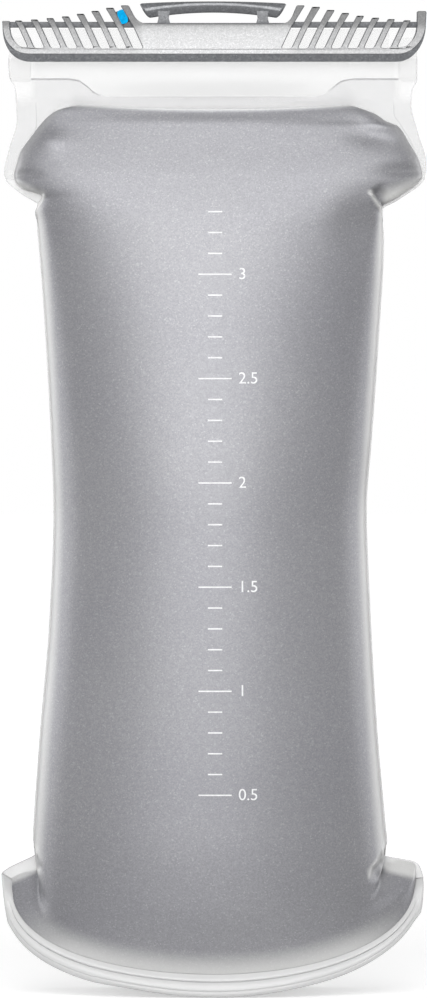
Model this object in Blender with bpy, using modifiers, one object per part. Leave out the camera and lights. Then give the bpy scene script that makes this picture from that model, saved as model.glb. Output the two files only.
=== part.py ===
"""Insulated hydration bladder with a slide-on closure and a self-closing outlet port.

Metres, +Z up. The front faces -Y. The origin is on the floor, under the middle of the base.
"""

import math

import bmesh
import bpy
from mathutils import Matrix, Vector

MM = 0.001

# Heights of the bag above the floor
RIM_HEIGHT = 10.4 * MM
EAR_Z = 56.0 * MM
LOW_PINCH_RISE = 18.0 * MM
WAIST_Z = 222.0 * MM
PANEL_TOP = 403.0 * MM
HIGH_EAR_DROP = 31.0 * MM
HIGH_PINCH_DROP = 51.0 * MM
COLLAR_HEIGHT = 20.5 * MM

# Half widths of the side seam, from the lower ear to the top edge of the panel
EAR_HALF = 88.0 * MM
LOW_PINCH_HALF = 80.0 * MM
WAIST_HALF = 70.6 * MM
HIGH_PINCH_HALF = 78.5 * MM
HIGH_EAR_HALF = 87.0 * MM
TOP_HALF = 72.0 * MM

# Half depths of the filled bag at the same heights
RIM_DEPTH = 31.0 * MM
LOW_PINCH_DEPTH = 37.0 * MM
WAIST_DEPTH = 38.0 * MM
HIGH_PINCH_DEPTH = 22.0 * MM
HIGH_EAR_DEPTH = 15.0 * MM
TOP_DEPTH = 6.2 * MM
WALL_FULLNESS = 0.8
SCOOP_POWER = 3

# Wall layers, from the outside in
SKIN = 0.6 * MM
FOAM = 2.0 * MM
LINER = 0.4 * MM
FILM = 0.4 * MM
WELD = 0.8 * MM
GAP = 0.3 * MM
SEAM_HALF_GAP = 0.5 * MM
STRIP_FOOT_RISE = 1.2 * MM
FOAM_SIDE_MARGIN = 2
FOAM_LOW_MARGIN = 2
FOAM_HIGH_MARGIN = 3
WALL_COLUMNS = 18
ROWS_PER_SPAN = (2, 6, 5, 2, 3)

# Clear weld strips: how far they stand out past the side seam
STRIP_EAR = 7.5 * MM
STRIP_WAIST = 2.0 * MM
STRIP_TOP = 18.0 * MM

# Base rim and gusset
RIM_WIDTH = 8.0 * MM
RIM_EAR_DROP = 6.0 * MM
RIM_SPLAY = 4.0 * MM
GUSSET = 0.6 * MM
GUSSET_SPAN = 0.89
GUSSET_INSET = 1.6 * MM
GUSSET_SAG = 18.0 * MM
GUSSET_FLATNESS = 4
GUSSET_COLUMNS = 18
GUSSET_ROWS = 10

# Collar and mouth rails
COLLAR_COLUMNS = 14
COLLAR_ROWS = 6
COLLAR_FLARE = 13.0 * MM
RAIL_END_RUN = 0.2 * MM
RAIL_WEB = 0.6 * MM
RAIL_BEAD = 3.4 * MM
RAIL_BEAD_HEIGHT = 3.0 * MM
RAIL_SKIRT = 12.0 * MM
RAIL_TOP_RUN = 0.45 * MM

# Slide closure
CLOSURE_LENGTH = 190.0 * MM
CLOSURE_WALL = 1.6 * MM
CLOSURE_RUN = 0.4 * MM
LIP_HEIGHT = 3.0 * MM
LIP_OVERLAP = 1.0 * MM
LIP_SETBACK = 0.6 * MM
FACE_HEIGHT = 14.1 * MM
SPINE_HEIGHT = 2.3 * MM
CORNER_RX = 15.8 * MM
CORNER_STEPS = 7
WINDOW_SILL = 2.3 * MM
WINDOW_WIDTH = 5.1 * MM
WINDOW_PITCH = 7.4 * MM
FIRST_WINDOW_X = 33.4 * MM
BORDER_WINDOWS = 2
BORDER = 3.2 * MM
RIB_LEAN = math.radians(26.0)
RIB_RISE = 7.6 * MM
RIB_END_RISE = 1.0 * MM
RIB_INNER_X = 39.6 * MM
RIB_END_INSET = 8.0 * MM
RIB_CURVE = 1.6
RIB_STEPS = 8
PLATE_HALF = 31.0 * MM
PLATE_FILLET = 3.0 * MM
END_STOP_RISE = 5.0 * MM
END_STOP_WIDTH = 7.0 * MM
END_WALL = 1.2 * MM
END_WALL_INSET = 1.6 * MM
END_WALL_DROP = 5.2 * MM

# Hang handle
HANDLE_HALF = 33.0 * MM
HANDLE_GAP = 4.9 * MM
HANDLE_BAR = 4.6 * MM
HANDLE_END_BAR = 5.6 * MM
HANDLE_TOP_FALL = 1.3 * MM
HANDLE_LOW_FALL = 2.3 * MM
HANDLE_DEPTH = 8.4 * MM
HANDLE_STEPS = 11
HANDLE_BEVEL = 1.1 * MM
POST_X = 22.7 * MM
POST_WIDTH = 4.5 * MM
POST_DEPTH = 4.4 * MM
POST_TENON = 1.8 * MM

# Lock button and its seat
BUTTON_RUN = 0.45 * MM
BUTTON_HEIGHT = 6.0 * MM
BUTTON_PAD = 1.8 * MM
BUTTON_TRAVEL = 1.2 * MM
BUTTON_STEM_WIDTH = 2.0 * MM
BUTTON_STEM_HEIGHT = 3.2 * MM
BUTTON_HEAD_WIDTH = 3.2 * MM
BUTTON_HEAD_HEIGHT = 4.6 * MM
BUTTON_HEAD = 1.2 * MM
BUTTON_RISE = 3.9 * MM
BUTTON_RECESS = 0.6 * MM
BUTTON_BEVEL = 0.5 * MM
SEAT_THICKNESS = 2.0 * MM
SEAT_MARGIN = 1.0 * MM
SEAT_HEIGHT = 6.4 * MM

# Outlet port on the back, turned about an axis along +Y
PORT_Z = 84.0 * MM
PORT_BRIM = 3.5 * MM
PORT_FLANGE = 2.0 * MM
PORT_WALL = 1.9 * MM
PORT_SOCKET_LENGTH = 15.0 * MM
PORT_BORE_R = 5.0 * MM
PORT_NECK_WALL = 2.4 * MM
PORT_NECK_LENGTH = 11.0 * MM
PORT_STEPS = 32
SEAT_FACE = 0.6 * MM
SEAT_WEB = 1.8 * MM
SEAT_HOLE_R = 3.0 * MM
CHAMBER_R = 5.2 * MM
SEAL_WIRE_R = 0.85 * MM
SEAL_BITE = 0.45 * MM
SEAL_PLACE = 6.0 * MM
SEAL_POINTS = 8

# Valve inside the port
POPPET_RUN = 0.6 * MM
POPPET_HEAD = 1.6 * MM
POPPET_PIN_R = 1.6 * MM
POPPET_PIN = 4.4 * MM
POPPET_TAIL_R = 1.2 * MM
POPPET_TAIL = 9.6 * MM
VALVE_SEAL = 0.6 * MM
VALVE_SEAL_WIDTH = 1.2 * MM
VALVE_WIRE_R = 0.3 * MM
VALVE_COIL_INSET = 1.3 * MM
VALVE_TURNS = 4
RETAINER = 1.4 * MM
RETAINER_SLOT = 1.5 * MM
RETAINER_RUN = 0.4 * MM
FLOW_SLOT_START = 2.4 * MM

# Release latch across the socket
LATCH = 1.8 * MM
LATCH_SIDE = 2.0 * MM
LATCH_PLACE = 10.8 * MM
LATCH_BITE = 1.0 * MM
LATCH_TRAVEL = 1.4 * MM
LATCH_FOOT = 2.5 * MM
LATCH_PAD_INSET = 0.5 * MM
LATCH_PAD_DEPTH = 5.6 * MM
LATCH_PAD = 2.8 * MM
LATCH_BEVEL = 0.6 * MM
LATCH_WIRE_R = 0.2 * MM
LATCH_COIL_R = 0.8 * MM
LATCH_SPRING = 3.2 * MM
LATCH_TURNS = 3
COIL_POINTS = 8

# Places worked out from the sizes above
LOW_PINCH_Z = EAR_Z + LOW_PINCH_RISE
HIGH_EAR_Z = PANEL_TOP - HIGH_EAR_DROP
HIGH_PINCH_Z = PANEL_TOP - HIGH_PINCH_DROP
LIP_Z = PANEL_TOP + COLLAR_HEIGHT
FACE_Z = LIP_Z + LIP_HEIGHT
CLOSURE_TOP = FACE_Z + FACE_HEIGHT
SPINE_Z = CLOSURE_TOP - SPINE_HEIGHT
MOUTH_TOP = SPINE_Z - RAIL_TOP_RUN
FILM_Y = SEAM_HALF_GAP + FILM
RAIL_Y = FILM_Y + GAP
WALL_IN_Y = RAIL_Y + RAIL_BEAD + CLOSURE_RUN
WALL_OUT_Y = WALL_IN_Y + CLOSURE_WALL
SLOT_HALF = RAIL_Y + RAIL_WEB + CLOSURE_RUN
SCOOP = EAR_Z - RIM_HEIGHT
RIM_HALF = EAR_HALF + RIM_WIDTH
RIM_EAR_Z = EAR_Z - RIM_EAR_DROP
CLOSURE_END = CLOSURE_LENGTH / 2
HOOK_END = CLOSURE_END - CORNER_RX
RAIL_HALF = HOOK_END - RAIL_END_RUN
END_WALL_X = CLOSURE_END - END_WALL_INSET
COLLAR_HALF = END_WALL_X - END_WALL - CLOSURE_RUN
RIB_OUTER_X = CLOSURE_END - RIB_END_INSET
WINDOW_COUNT = 1 + int((RIB_OUTER_X - FIRST_WINDOW_X) / WINDOW_PITCH)
WINDOW_HALF = WINDOW_WIDTH * math.cos(RIB_LEAN) / 2
BUTTON_WIDTH = 2 * (WINDOW_HALF - BUTTON_RUN)
SEAT_WIDTH = 2 * (WINDOW_HALF + SEAT_MARGIN)
PAD_FRONT_Y = -WALL_OUT_Y + BUTTON_RECESS
PAD_BACK_Y = PAD_FRONT_Y + BUTTON_PAD
SEAT_FRONT_Y = PAD_BACK_Y + BUTTON_TRAVEL + GAP
SEAT_BACK_Y = SEAT_FRONT_Y + SEAT_THICKNESS
HEAD_FRONT_Y = SEAT_BACK_Y + GAP
WINDOW_CUT_Y = 2 * WALL_OUT_Y
WINDOW_CUT_TOP = CLOSURE_TOP + 2 * RIB_RISE
LATCH_HALF = PORT_BORE_R + LATCH_SIDE
LATCH_REACH = PORT_BORE_R - LATCH_BITE + LATCH_FOOT
LATCH_FLOOR = LATCH_REACH + LATCH_SPRING + 2 * GAP
PORT_SOCKET_R = math.hypot(LATCH_HALF + GAP, LATCH_FLOOR) + PORT_WALL
POPPET_R = CHAMBER_R - POPPET_RUN
MERGE = 0.01 * MM
BEVEL_ANGLE = math.radians(40.0)
BEVEL_SEGMENTS = 2
HALVINGS = 40

PARTS = None
CUTTERS = None


def clear_scene():
    for obj in list(bpy.data.objects):
        bpy.data.objects.remove(obj, do_unlink=True)


def make_collection(name):
    collection = bpy.data.collections.new(name)
    bpy.context.scene.collection.children.link(collection)
    return collection


def finish(name, colour, roughness, alpha=1.0, metallic=0.0):
    """A plain Principled material in the part's own colour."""
    material = bpy.data.materials.new(name)
    material.use_nodes = True
    shader = material.node_tree.nodes["Principled BSDF"]
    shader.inputs["Base Color"].default_value = (*colour, 1.0)
    shader.inputs["Roughness"].default_value = roughness
    shader.inputs["Metallic"].default_value = metallic
    shader.inputs["Alpha"].default_value = alpha
    return material


def add_part(name, mesh, material, parent=None, matrix=Matrix()):
    obj = bpy.data.objects.new(name, mesh)
    PARTS.objects.link(obj)
    mesh.materials.clear()
    mesh.materials.append(material)
    obj.matrix_world = matrix
    if parent is not None:
        obj.parent = parent
        obj.matrix_parent_inverse = parent.matrix_world.inverted()
    return obj


def add_cutter(name, mesh, matrix=Matrix()):
    obj = bpy.data.objects.new(name, mesh)
    CUTTERS.objects.link(obj)
    obj.matrix_world = matrix
    obj.hide_render = True
    obj.display_type = "WIRE"
    return obj


def add_empty(name, place):
    empty = bpy.data.objects.new(name, None)
    PARTS.objects.link(empty)
    empty.location = place
    bpy.context.view_layer.update()
    return empty


def mesh_from(name, bm):
    mesh = bpy.data.meshes.new(name)
    bm.to_mesh(mesh)
    bm.free()
    return mesh


def box_mesh(name, low, high):
    bm = bmesh.new()
    size = Vector(high) - Vector(low)
    middle = (Vector(high) + Vector(low)) / 2
    place = Matrix.Translation(middle) @ Matrix.Diagonal((*size, 1.0))
    bmesh.ops.create_cube(bm, size=1.0, matrix=place)
    return mesh_from(name, bm)


def cylinder_mesh(name, radius, low, high, steps):
    """A closed cylinder about local Z."""
    bm = bmesh.new()
    place = Matrix.Translation((0, 0, (low + high) / 2))
    bmesh.ops.create_cone(
        bm, cap_ends=True, segments=steps, radius1=radius, radius2=radius, depth=high - low, matrix=place
    )
    return mesh_from(name, bm)


def curve_to_mesh(name, curve):
    """Turns a curve into a closed mesh with its caps welded."""
    holder = bpy.data.objects.new(name, curve)
    CUTTERS.objects.link(holder)
    depsgraph = bpy.context.evaluated_depsgraph_get()
    mesh = bpy.data.meshes.new_from_object(holder.evaluated_get(depsgraph))
    bpy.data.objects.remove(holder, do_unlink=True)
    bm = bmesh.new()
    bm.from_mesh(mesh)
    bmesh.ops.remove_doubles(bm, verts=bm.verts, dist=MERGE)
    bmesh.ops.recalc_face_normals(bm, faces=bm.faces)
    bm.to_mesh(mesh)
    bm.free()
    return mesh


def outline_mesh(name, points, low_y, high_y):
    """A flat outline in X and Z, as thick as the two Y values are apart."""
    curve = bpy.data.curves.new(name, "CURVE")
    curve.dimensions = "2D"
    curve.fill_mode = "BOTH"
    curve.extrude = (high_y - low_y) / 2
    spline = curve.splines.new("POLY")
    spline.points.add(len(points) - 1)
    for point, (x, z) in zip(spline.points, points):
        point.co = (x, z, 0, 1)
    spline.use_cyclic_u = True
    mesh = curve_to_mesh(name, curve)
    upright = Matrix.Translation((0, (low_y + high_y) / 2, 0)) @ Matrix.Rotation(math.pi / 2, 4, "X")
    mesh.transform(upright)
    return mesh


def coil_mesh(name, radius, wire_radius, low, high, turns):
    """A coil about local Z whose wire lies between two heights."""
    curve = bpy.data.curves.new(name, "CURVE")
    curve.dimensions = "3D"
    curve.bevel_depth = wire_radius
    curve.bevel_resolution = 1
    curve.use_fill_caps = True
    spline = curve.splines.new("POLY")
    count = turns * COIL_POINTS + 1
    spline.points.add(count - 1)
    start = low + wire_radius
    rise = high - low - 2 * wire_radius
    for i, point in enumerate(spline.points):
        angle = 2 * math.pi * i / COIL_POINTS
        share = i / (count - 1)
        point.co = (radius * math.cos(angle), radius * math.sin(angle), start + rise * share, 1)
    return curve_to_mesh(name, curve)


def turned_part(name, profile, material, matrix, closed, parent=None):
    """A profile of (radius, height) points turned about local Z."""
    mesh = bpy.data.meshes.new(name)
    points = [(radius, 0, height) for radius, height in profile]
    edges = [(i, i + 1) for i in range(len(points) - 1)]
    if closed:
        edges.append((len(points) - 1, 0))
    mesh.from_pydata(points, edges, [])
    obj = add_part(name, mesh, material, parent, matrix)
    screw = obj.modifiers.new("Turn", "SCREW")
    screw.axis = "Z"
    screw.steps = PORT_STEPS
    screw.render_steps = PORT_STEPS
    screw.use_merge_vertices = True
    screw.merge_threshold = MERGE
    return obj


def boolean(obj, operation, other):
    cut = obj.modifiers.new(operation.title(), "BOOLEAN")
    cut.operation = operation
    cut.solver = "EXACT"
    cut.object = other


def solidify(obj, thickness, offset):
    wall = obj.modifiers.new("Thickness", "SOLIDIFY")
    wall.thickness = thickness
    wall.offset = offset


def bevel(obj, width):
    edge = obj.modifiers.new("Rounded edges", "BEVEL")
    edge.width = width
    edge.segments = BEVEL_SEGMENTS
    edge.limit_method = "ANGLE"
    edge.angle_limit = BEVEL_ANGLE


def ease(stations, z):
    """A value that passes smoothly through (height, value) stations."""
    for (z0, a), (z1, b) in zip(stations, stations[1:]):
        if z <= z1:
            share = max(0.0, (z - z0) / (z1 - z0))
            return a + (b - a) * (1 - math.cos(math.pi * share)) / 2
    return stations[-1][1]


HEIGHTS = (EAR_Z, LOW_PINCH_Z, WAIST_Z, HIGH_PINCH_Z, HIGH_EAR_Z, PANEL_TOP)
SEAM = (EAR_HALF, LOW_PINCH_HALF, WAIST_HALF, HIGH_PINCH_HALF, HIGH_EAR_HALF, TOP_HALF)
DEPTH = (RIM_DEPTH, LOW_PINCH_DEPTH, WAIST_DEPTH, HIGH_PINCH_DEPTH, HIGH_EAR_DEPTH, TOP_DEPTH)
STRIP = (STRIP_EAR, STRIP_WAIST, STRIP_WAIST, STRIP_WAIST, STRIP_EAR, STRIP_TOP)


def seam_half(z):
    return ease(list(zip(HEIGHTS, SEAM)), z)


def half_depth(z):
    return ease(list(zip(HEIGHTS, DEPTH)), z)


def strip_width(z):
    return ease(list(zip(HEIGHTS, STRIP)), z)


def row_heights():
    """Heights of the wall's rows at the side seam."""
    rows = [HEIGHTS[0]]
    for count, z0, z1 in zip(ROWS_PER_SPAN, HEIGHTS, HEIGHTS[1:]):
        rows += [z0 + (z1 - z0) * (i + 1) / count for i in range(count)]
    return rows


def wall_point(across, seam_z):
    """A point on the outer face of the front wall; across runs from -1 to 1."""
    sine = math.sin(across * math.pi / 2)
    cosine = max(0.0, math.cos(across * math.pi / 2))
    low_share = ((PANEL_TOP - seam_z) / (PANEL_TOP - EAR_Z)) ** SCOOP_POWER
    x = sine * seam_half(seam_z)
    y = -SEAM_HALF_GAP - half_depth(seam_z) * cosine**WALL_FULLNESS
    z = seam_z - SCOOP * cosine * low_share
    return Vector((x, y, z))


def back_wall_y(height):
    """Y of the back wall's outer face on the centre line at a height."""
    low, high = EAR_Z, PANEL_TOP
    for _ in range(HALVINGS):
        middle = (low + high) / 2
        if wall_point(0, middle).z < height:
            low = middle
        else:
            high = middle
    return -wall_point(0, low).y


def grid_mesh(columns, rows, place, back=False):
    """A grid whose point (column, row) is moved to place(column share, row)."""
    bm = bmesh.new()
    bmesh.ops.create_grid(bm, x_segments=columns, y_segments=rows, size=1.0)
    for vert in bm.verts:
        column = round((vert.co.x + 1) / 2 * columns)
        row = round((vert.co.y + 1) / 2 * rows)
        vert.co = place(2 * column / columns - 1, row)
        if back:
            vert.co.y = -vert.co.y
    if back:
        bmesh.ops.reverse_faces(bm, faces=bm.faces)
    bm.normal_update()
    return bm


def wall_layer(name, material, inset, thickness, margins, back):
    """One layer of the front or back wall, set in from the outer face."""
    heights = row_heights()
    rows = len(heights) - 1
    side, low, high = margins

    def place(across, row):
        return wall_point(across, heights[row])

    bm = grid_mesh(WALL_COLUMNS, rows, place, back)
    bm.verts.ensure_lookup_table()
    spare = []
    stride = WALL_COLUMNS + 1
    shifted = [vert.co - vert.normal * inset for vert in bm.verts]
    for index, vert in enumerate(bm.verts):
        vert.co = shifted[index]
        column = index % stride
        row = index // stride
        if not side <= column <= WALL_COLUMNS - side or not low <= row <= rows - high:
            spare.append(vert)
    bmesh.ops.delete(bm, geom=spare, context="VERTS")
    obj = add_part(name, mesh_from(name, bm), material)
    solidify(obj, thickness, -1.0)
    return obj


def make_walls(materials):
    """Skin, foam and liner of the front and back; the back ones are holed for the port."""
    full = (0, 0, 0)
    inner = (FOAM_SIDE_MARGIN, FOAM_LOW_MARGIN, FOAM_HIGH_MARGIN)
    foam_inset = SKIN + GAP
    liner_inset = foam_inset + FOAM + GAP
    hole = port_hole_cutter()
    for side in ("front", "back"):
        back = side == "back"
        layers = [
            wall_layer(f"{side}_skin", materials["skin"], 0.0, SKIN, full, back),
            wall_layer(f"{side}_foam", materials["foam"], foam_inset, FOAM, inner, back),
            wall_layer(f"{side}_liner", materials["film"], liner_inset, LINER, inner, back),
        ]
        if back:
            for layer in layers:
                boolean(layer, "DIFFERENCE", hole)


def make_side_welds(material):
    """Clear strips along the two side seams."""
    heights = row_heights()
    rows = len(heights) - 1
    for side, sign in (("left", -1), ("right", 1)):

        def place(across, row, sign=sign):
            z = heights[row]
            inner = seam_half(z) + GAP
            width = strip_width(z) - GAP
            share = (across + 1) / 2 if sign > 0 else (1 - across) / 2
            if row == 0:
                z += STRIP_FOOT_RISE
            return Vector((sign * (inner + width * share), 0, z))

        bm = grid_mesh(1, rows, place)
        obj = add_part(f"{side}_side_weld", mesh_from("strip", bm), material)
        solidify(obj, WELD, 0.0)


def rim_point(across, share):
    """A point on the front base rim, from the weld line (0) to its free edge (1)."""
    sine = math.sin(across * math.pi / 2)
    cosine = max(0.0, math.cos(across * math.pi / 2))
    inner_z = EAR_Z - GAP - SCOOP * cosine
    outer_z = RIM_EAR_Z * (1 - cosine)
    x = sine * (EAR_HALF + (RIM_HALF - EAR_HALF) * share)
    y = -SEAM_HALF_GAP - WELD / 2 - RIM_DEPTH * cosine**WALL_FULLNESS - RIM_SPLAY * cosine * share
    z = inner_z + (outer_z - inner_z) * share
    return Vector((x, y, z))


def make_base(materials):
    """Weld rims at the front and back, and the gusset that closes the bag below."""
    for side in ("front", "back"):

        def place(across, row):
            return rim_point(across, 1.0 - row)

        bm = grid_mesh(WALL_COLUMNS, 1, place, side == "back")
        obj = add_part(f"{side}_base_weld", mesh_from("rim", bm), materials["film"])
        solidify(obj, WELD, 0.0)

    def gusset_point(across, row):
        angle = across * GUSSET_SPAN * math.pi / 2
        sine = math.sin(angle)
        cosine = math.cos(angle)
        forward = 2 * row / GUSSET_ROWS - 1
        half = RIM_DEPTH * cosine**WALL_FULLNESS - GUSSET_INSET
        edge_z = EAR_Z - SCOOP * cosine + GUSSET + GAP
        sag = GUSSET_SAG * cosine * cosine * (1 - forward**GUSSET_FLATNESS)
        return Vector((sine * EAR_HALF, forward * half, max(GUSSET, edge_z - sag)))

    bm = grid_mesh(GUSSET_COLUMNS, GUSSET_ROWS, gusset_point)
    obj = add_part("base_gusset", mesh_from("gusset", bm), materials["gusset"])
    solidify(obj, GUSSET, -1.0)


def collar_point(across, row):
    """A point on the outer face of the front collar film."""
    x = across * COLLAR_HALF
    low = PANEL_TOP + GAP
    z = low + COLLAR_FLARE * row / (COLLAR_ROWS - 1) if row < COLLAR_ROWS else MOUTH_TOP
    inside = max(0.0, 1 - (x / TOP_HALF) ** 2)
    closing = max(0.0, 1 - (z - low) / COLLAR_FLARE)
    swell = TOP_DEPTH * inside ** (WALL_FULLNESS / 2) * closing * closing * (3 - 2 * closing)
    return Vector((x, -FILM_Y - swell, z))


def make_mouth(materials):
    """Clear collar films and the rails that the closure runs on."""
    for side in ("front", "back"):
        bm = grid_mesh(COLLAR_COLUMNS, COLLAR_ROWS, collar_point, side == "back")
        obj = add_part(f"{side}_collar", mesh_from("collar", bm), materials["film"])
        solidify(obj, FILM, -1.0)
    bead_low = FACE_Z + LIP_OVERLAP + CLOSURE_RUN
    bead_high = bead_low + RAIL_BEAD_HEIGHT
    web = RAIL_Y + RAIL_WEB
    bead = RAIL_Y + RAIL_BEAD
    section = [
        (RAIL_Y, bead_low - RAIL_SKIRT),
        (web, bead_low - RAIL_SKIRT),
        (web, bead_low),
        (bead, bead_low),
        (bead, bead_high),
        (web, bead_high + (RAIL_BEAD - RAIL_WEB) / 2),
        (web, MOUTH_TOP),
        (RAIL_Y, MOUTH_TOP),
    ]
    for side, sign in (("front", -1), ("back", 1)):
        mesh = outline_mesh("rail", section, -RAIL_HALF, RAIL_HALF)
        mesh.transform(Matrix.Rotation(sign * math.pi / 2, 4, "Z"))
        add_part(f"{side}_rail", mesh, materials["rail"])


def corner_arc(rx, rz, low_z, sign, inset=0.0):
    """Points round a lower corner of the closure, from its end down to its bottom edge."""
    top = low_z + rz
    points = []
    for i in range(CORNER_STEPS + 1):
        angle = math.pi / 2 * i / CORNER_STEPS
        x = HOOK_END + (rx - inset) * math.cos(angle)
        z = top - (rz - inset) * math.sin(angle)
        points.append((sign * x, z))
    return points


def rib_line(sign):
    """Points along the tops of the ribs, from the outermost to the innermost."""
    points = []
    for i in range(RIB_STEPS + 1):
        share = i / RIB_STEPS
        x = RIB_OUTER_X + (RIB_INNER_X - RIB_OUTER_X) * share
        z = CLOSURE_TOP + RIB_END_RISE + (RIB_RISE - RIB_END_RISE) * share**RIB_CURVE
        points.append((sign * x, z))
    return points


def face_outline():
    """The closure's front face: rounded lower corners, rib tops, low plate and end stop."""
    left = corner_arc(CORNER_RX, FACE_HEIGHT, FACE_Z, -1)
    right = corner_arc(CORNER_RX, FACE_HEIGHT, FACE_Z, 1)
    stop = CLOSURE_TOP + END_STOP_RISE
    fillet_x = PLATE_HALF + PLATE_FILLET
    inner_top = CLOSURE_TOP + RIB_RISE
    inner_x = RIB_INNER_X - RIB_RISE * math.tan(RIB_LEAN) / 2
    points = left
    points += right[::-1]
    points += [(CLOSURE_END, stop), (CLOSURE_END - END_STOP_WIDTH, stop)]
    points += rib_line(1)
    points += [(inner_x, inner_top), (fillet_x, CLOSURE_TOP + PLATE_FILLET / 2), (PLATE_HALF, CLOSURE_TOP)]
    points += [(-PLATE_HALF, CLOSURE_TOP), (-fillet_x, CLOSURE_TOP + PLATE_FILLET / 2), (-inner_x, inner_top)]
    points += rib_line(-1)[::-1]
    return points


def lip_outline():
    """The narrow band that follows the face's lower edge, set back below it."""
    lower = corner_arc(CORNER_RX, FACE_HEIGHT + LIP_HEIGHT, LIP_Z, -1)
    lower += corner_arc(CORNER_RX, FACE_HEIGHT + LIP_HEIGHT, LIP_Z, 1)[::-1]
    upper = corner_arc(CORNER_RX, FACE_HEIGHT, FACE_Z, -1, LIP_OVERLAP)
    upper += corner_arc(CORNER_RX, FACE_HEIGHT, FACE_Z, 1, LIP_OVERLAP)[::-1]
    return lower + upper[::-1]


def window_frame(index, sign):
    """Local frame of a slanted window: Z runs up along the ribs from the sill."""
    sill = FACE_Z + WINDOW_SILL
    x = sign * (FIRST_WINDOW_X + WINDOW_PITCH * index)
    return Matrix.Translation((x, 0, sill)) @ Matrix.Rotation(sign * RIB_LEAN, 4, "Y")


def window_field():
    """The part of the face inside its border, where windows may be cut."""
    field = corner_arc(CORNER_RX, FACE_HEIGHT, FACE_Z, -1, BORDER)
    field += corner_arc(CORNER_RX, FACE_HEIGHT, FACE_Z, 1, BORDER)[::-1]
    field += [(field[-1][0], WINDOW_CUT_TOP), (field[0][0], WINDOW_CUT_TOP)]
    mesh = outline_mesh("window_field", field, -2 * WINDOW_CUT_Y, 2 * WINDOW_CUT_Y)
    return add_cutter("window_field", mesh)


def window_cutters():
    """Slanted boxes; the outermost ones are cut back to the face's border."""
    field = window_field()
    low = (-WINDOW_HALF, -WINDOW_CUT_Y, 0)
    high = (WINDOW_HALF, WINDOW_CUT_Y, 2 * (FACE_HEIGHT + RIB_RISE))
    cutters = []
    for sign in (-1, 1):
        for index in range(WINDOW_COUNT):
            mesh = box_mesh("window", low, high)
            cutter = add_cutter("window_cutter", mesh, window_frame(index, sign))
            if index >= WINDOW_COUNT - BORDER_WINDOWS:
                boolean(cutter, "INTERSECT", field)
            cutters.append(cutter)
    return cutters


def button_frame():
    """Centre of the lock button's pad, on the line of the innermost left window."""
    run = (CLOSURE_TOP + BUTTON_RISE - FACE_Z - WINDOW_SILL) / math.cos(RIB_LEAN)
    return window_frame(0, -1) @ Matrix.Translation((0, 0, run))


def make_closure(materials, slider):
    """The slide closure: slotted walls, spine, lips, end wall and the button's seat."""
    face = outline_mesh("closure", face_outline(), -WALL_OUT_Y, -WALL_IN_Y)
    closure = add_part("slide_closure", face, materials["closure"], slider)
    for cutter in window_cutters():
        boolean(closure, "DIFFERENCE", cutter)
    lip_front = -WALL_OUT_Y + LIP_SETBACK
    band = outline_mesh("lip_band", lip_outline(), lip_front, -WALL_IN_Y - CLOSURE_RUN / 2)
    boolean(closure, "UNION", add_cutter("lip_band", band))
    mirror = closure.modifiers.new("Back wall", "MIRROR")
    mirror.use_axis = (False, True, False)
    mirror.merge_threshold = MERGE
    bite = CLOSURE_WALL / 2
    depth = WALL_IN_Y + bite
    hook_low = LIP_Z + GAP / 2
    hook_high = FACE_Z + LIP_OVERLAP
    joins = [
        box_mesh("spine", (-CLOSURE_END + bite, -depth, SPINE_Z), (END_WALL_X, depth, CLOSURE_TOP - GAP / 2)),
        box_mesh("front_lip", (-HOOK_END, -depth, hook_low), (HOOK_END, -SLOT_HALF, hook_high)),
        box_mesh("back_lip", (-HOOK_END, SLOT_HALF, hook_low), (HOOK_END, depth, hook_high)),
        box_mesh(
            "end_wall",
            (END_WALL_X - END_WALL, -depth, CLOSURE_TOP - END_WALL_DROP),
            (END_WALL_X + GAP, depth, CLOSURE_TOP + END_STOP_RISE - GAP),
        ),
    ]
    joins += [post_mesh(sign, SPINE_Z + SPINE_HEIGHT / 2, 0.0) for sign in (-1, 1)]
    for mesh in joins:
        boolean(closure, "UNION", add_cutter(mesh.name, mesh))
    frame = button_frame()
    foot = (BUTTON_RISE + SPINE_HEIGHT / 2) / math.cos(RIB_LEAN)
    seat = box_mesh(
        "seat",
        (-SEAT_WIDTH / 2, SEAT_FRONT_Y, -foot),
        (SEAT_WIDTH / 2, SEAT_BACK_Y, SEAT_HEIGHT / 2),
    )
    boolean(closure, "UNION", add_cutter("button_seat", seat, frame))
    stem_x = BUTTON_STEM_WIDTH / 2 + GAP
    stem_z = BUTTON_STEM_HEIGHT / 2 + GAP
    hole = box_mesh("stem_hole", (-stem_x, PAD_BACK_Y, -stem_z), (stem_x, HEAD_FRONT_Y, stem_z))
    boolean(closure, "DIFFERENCE", add_cutter("stem_hole", hole, frame))


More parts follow.
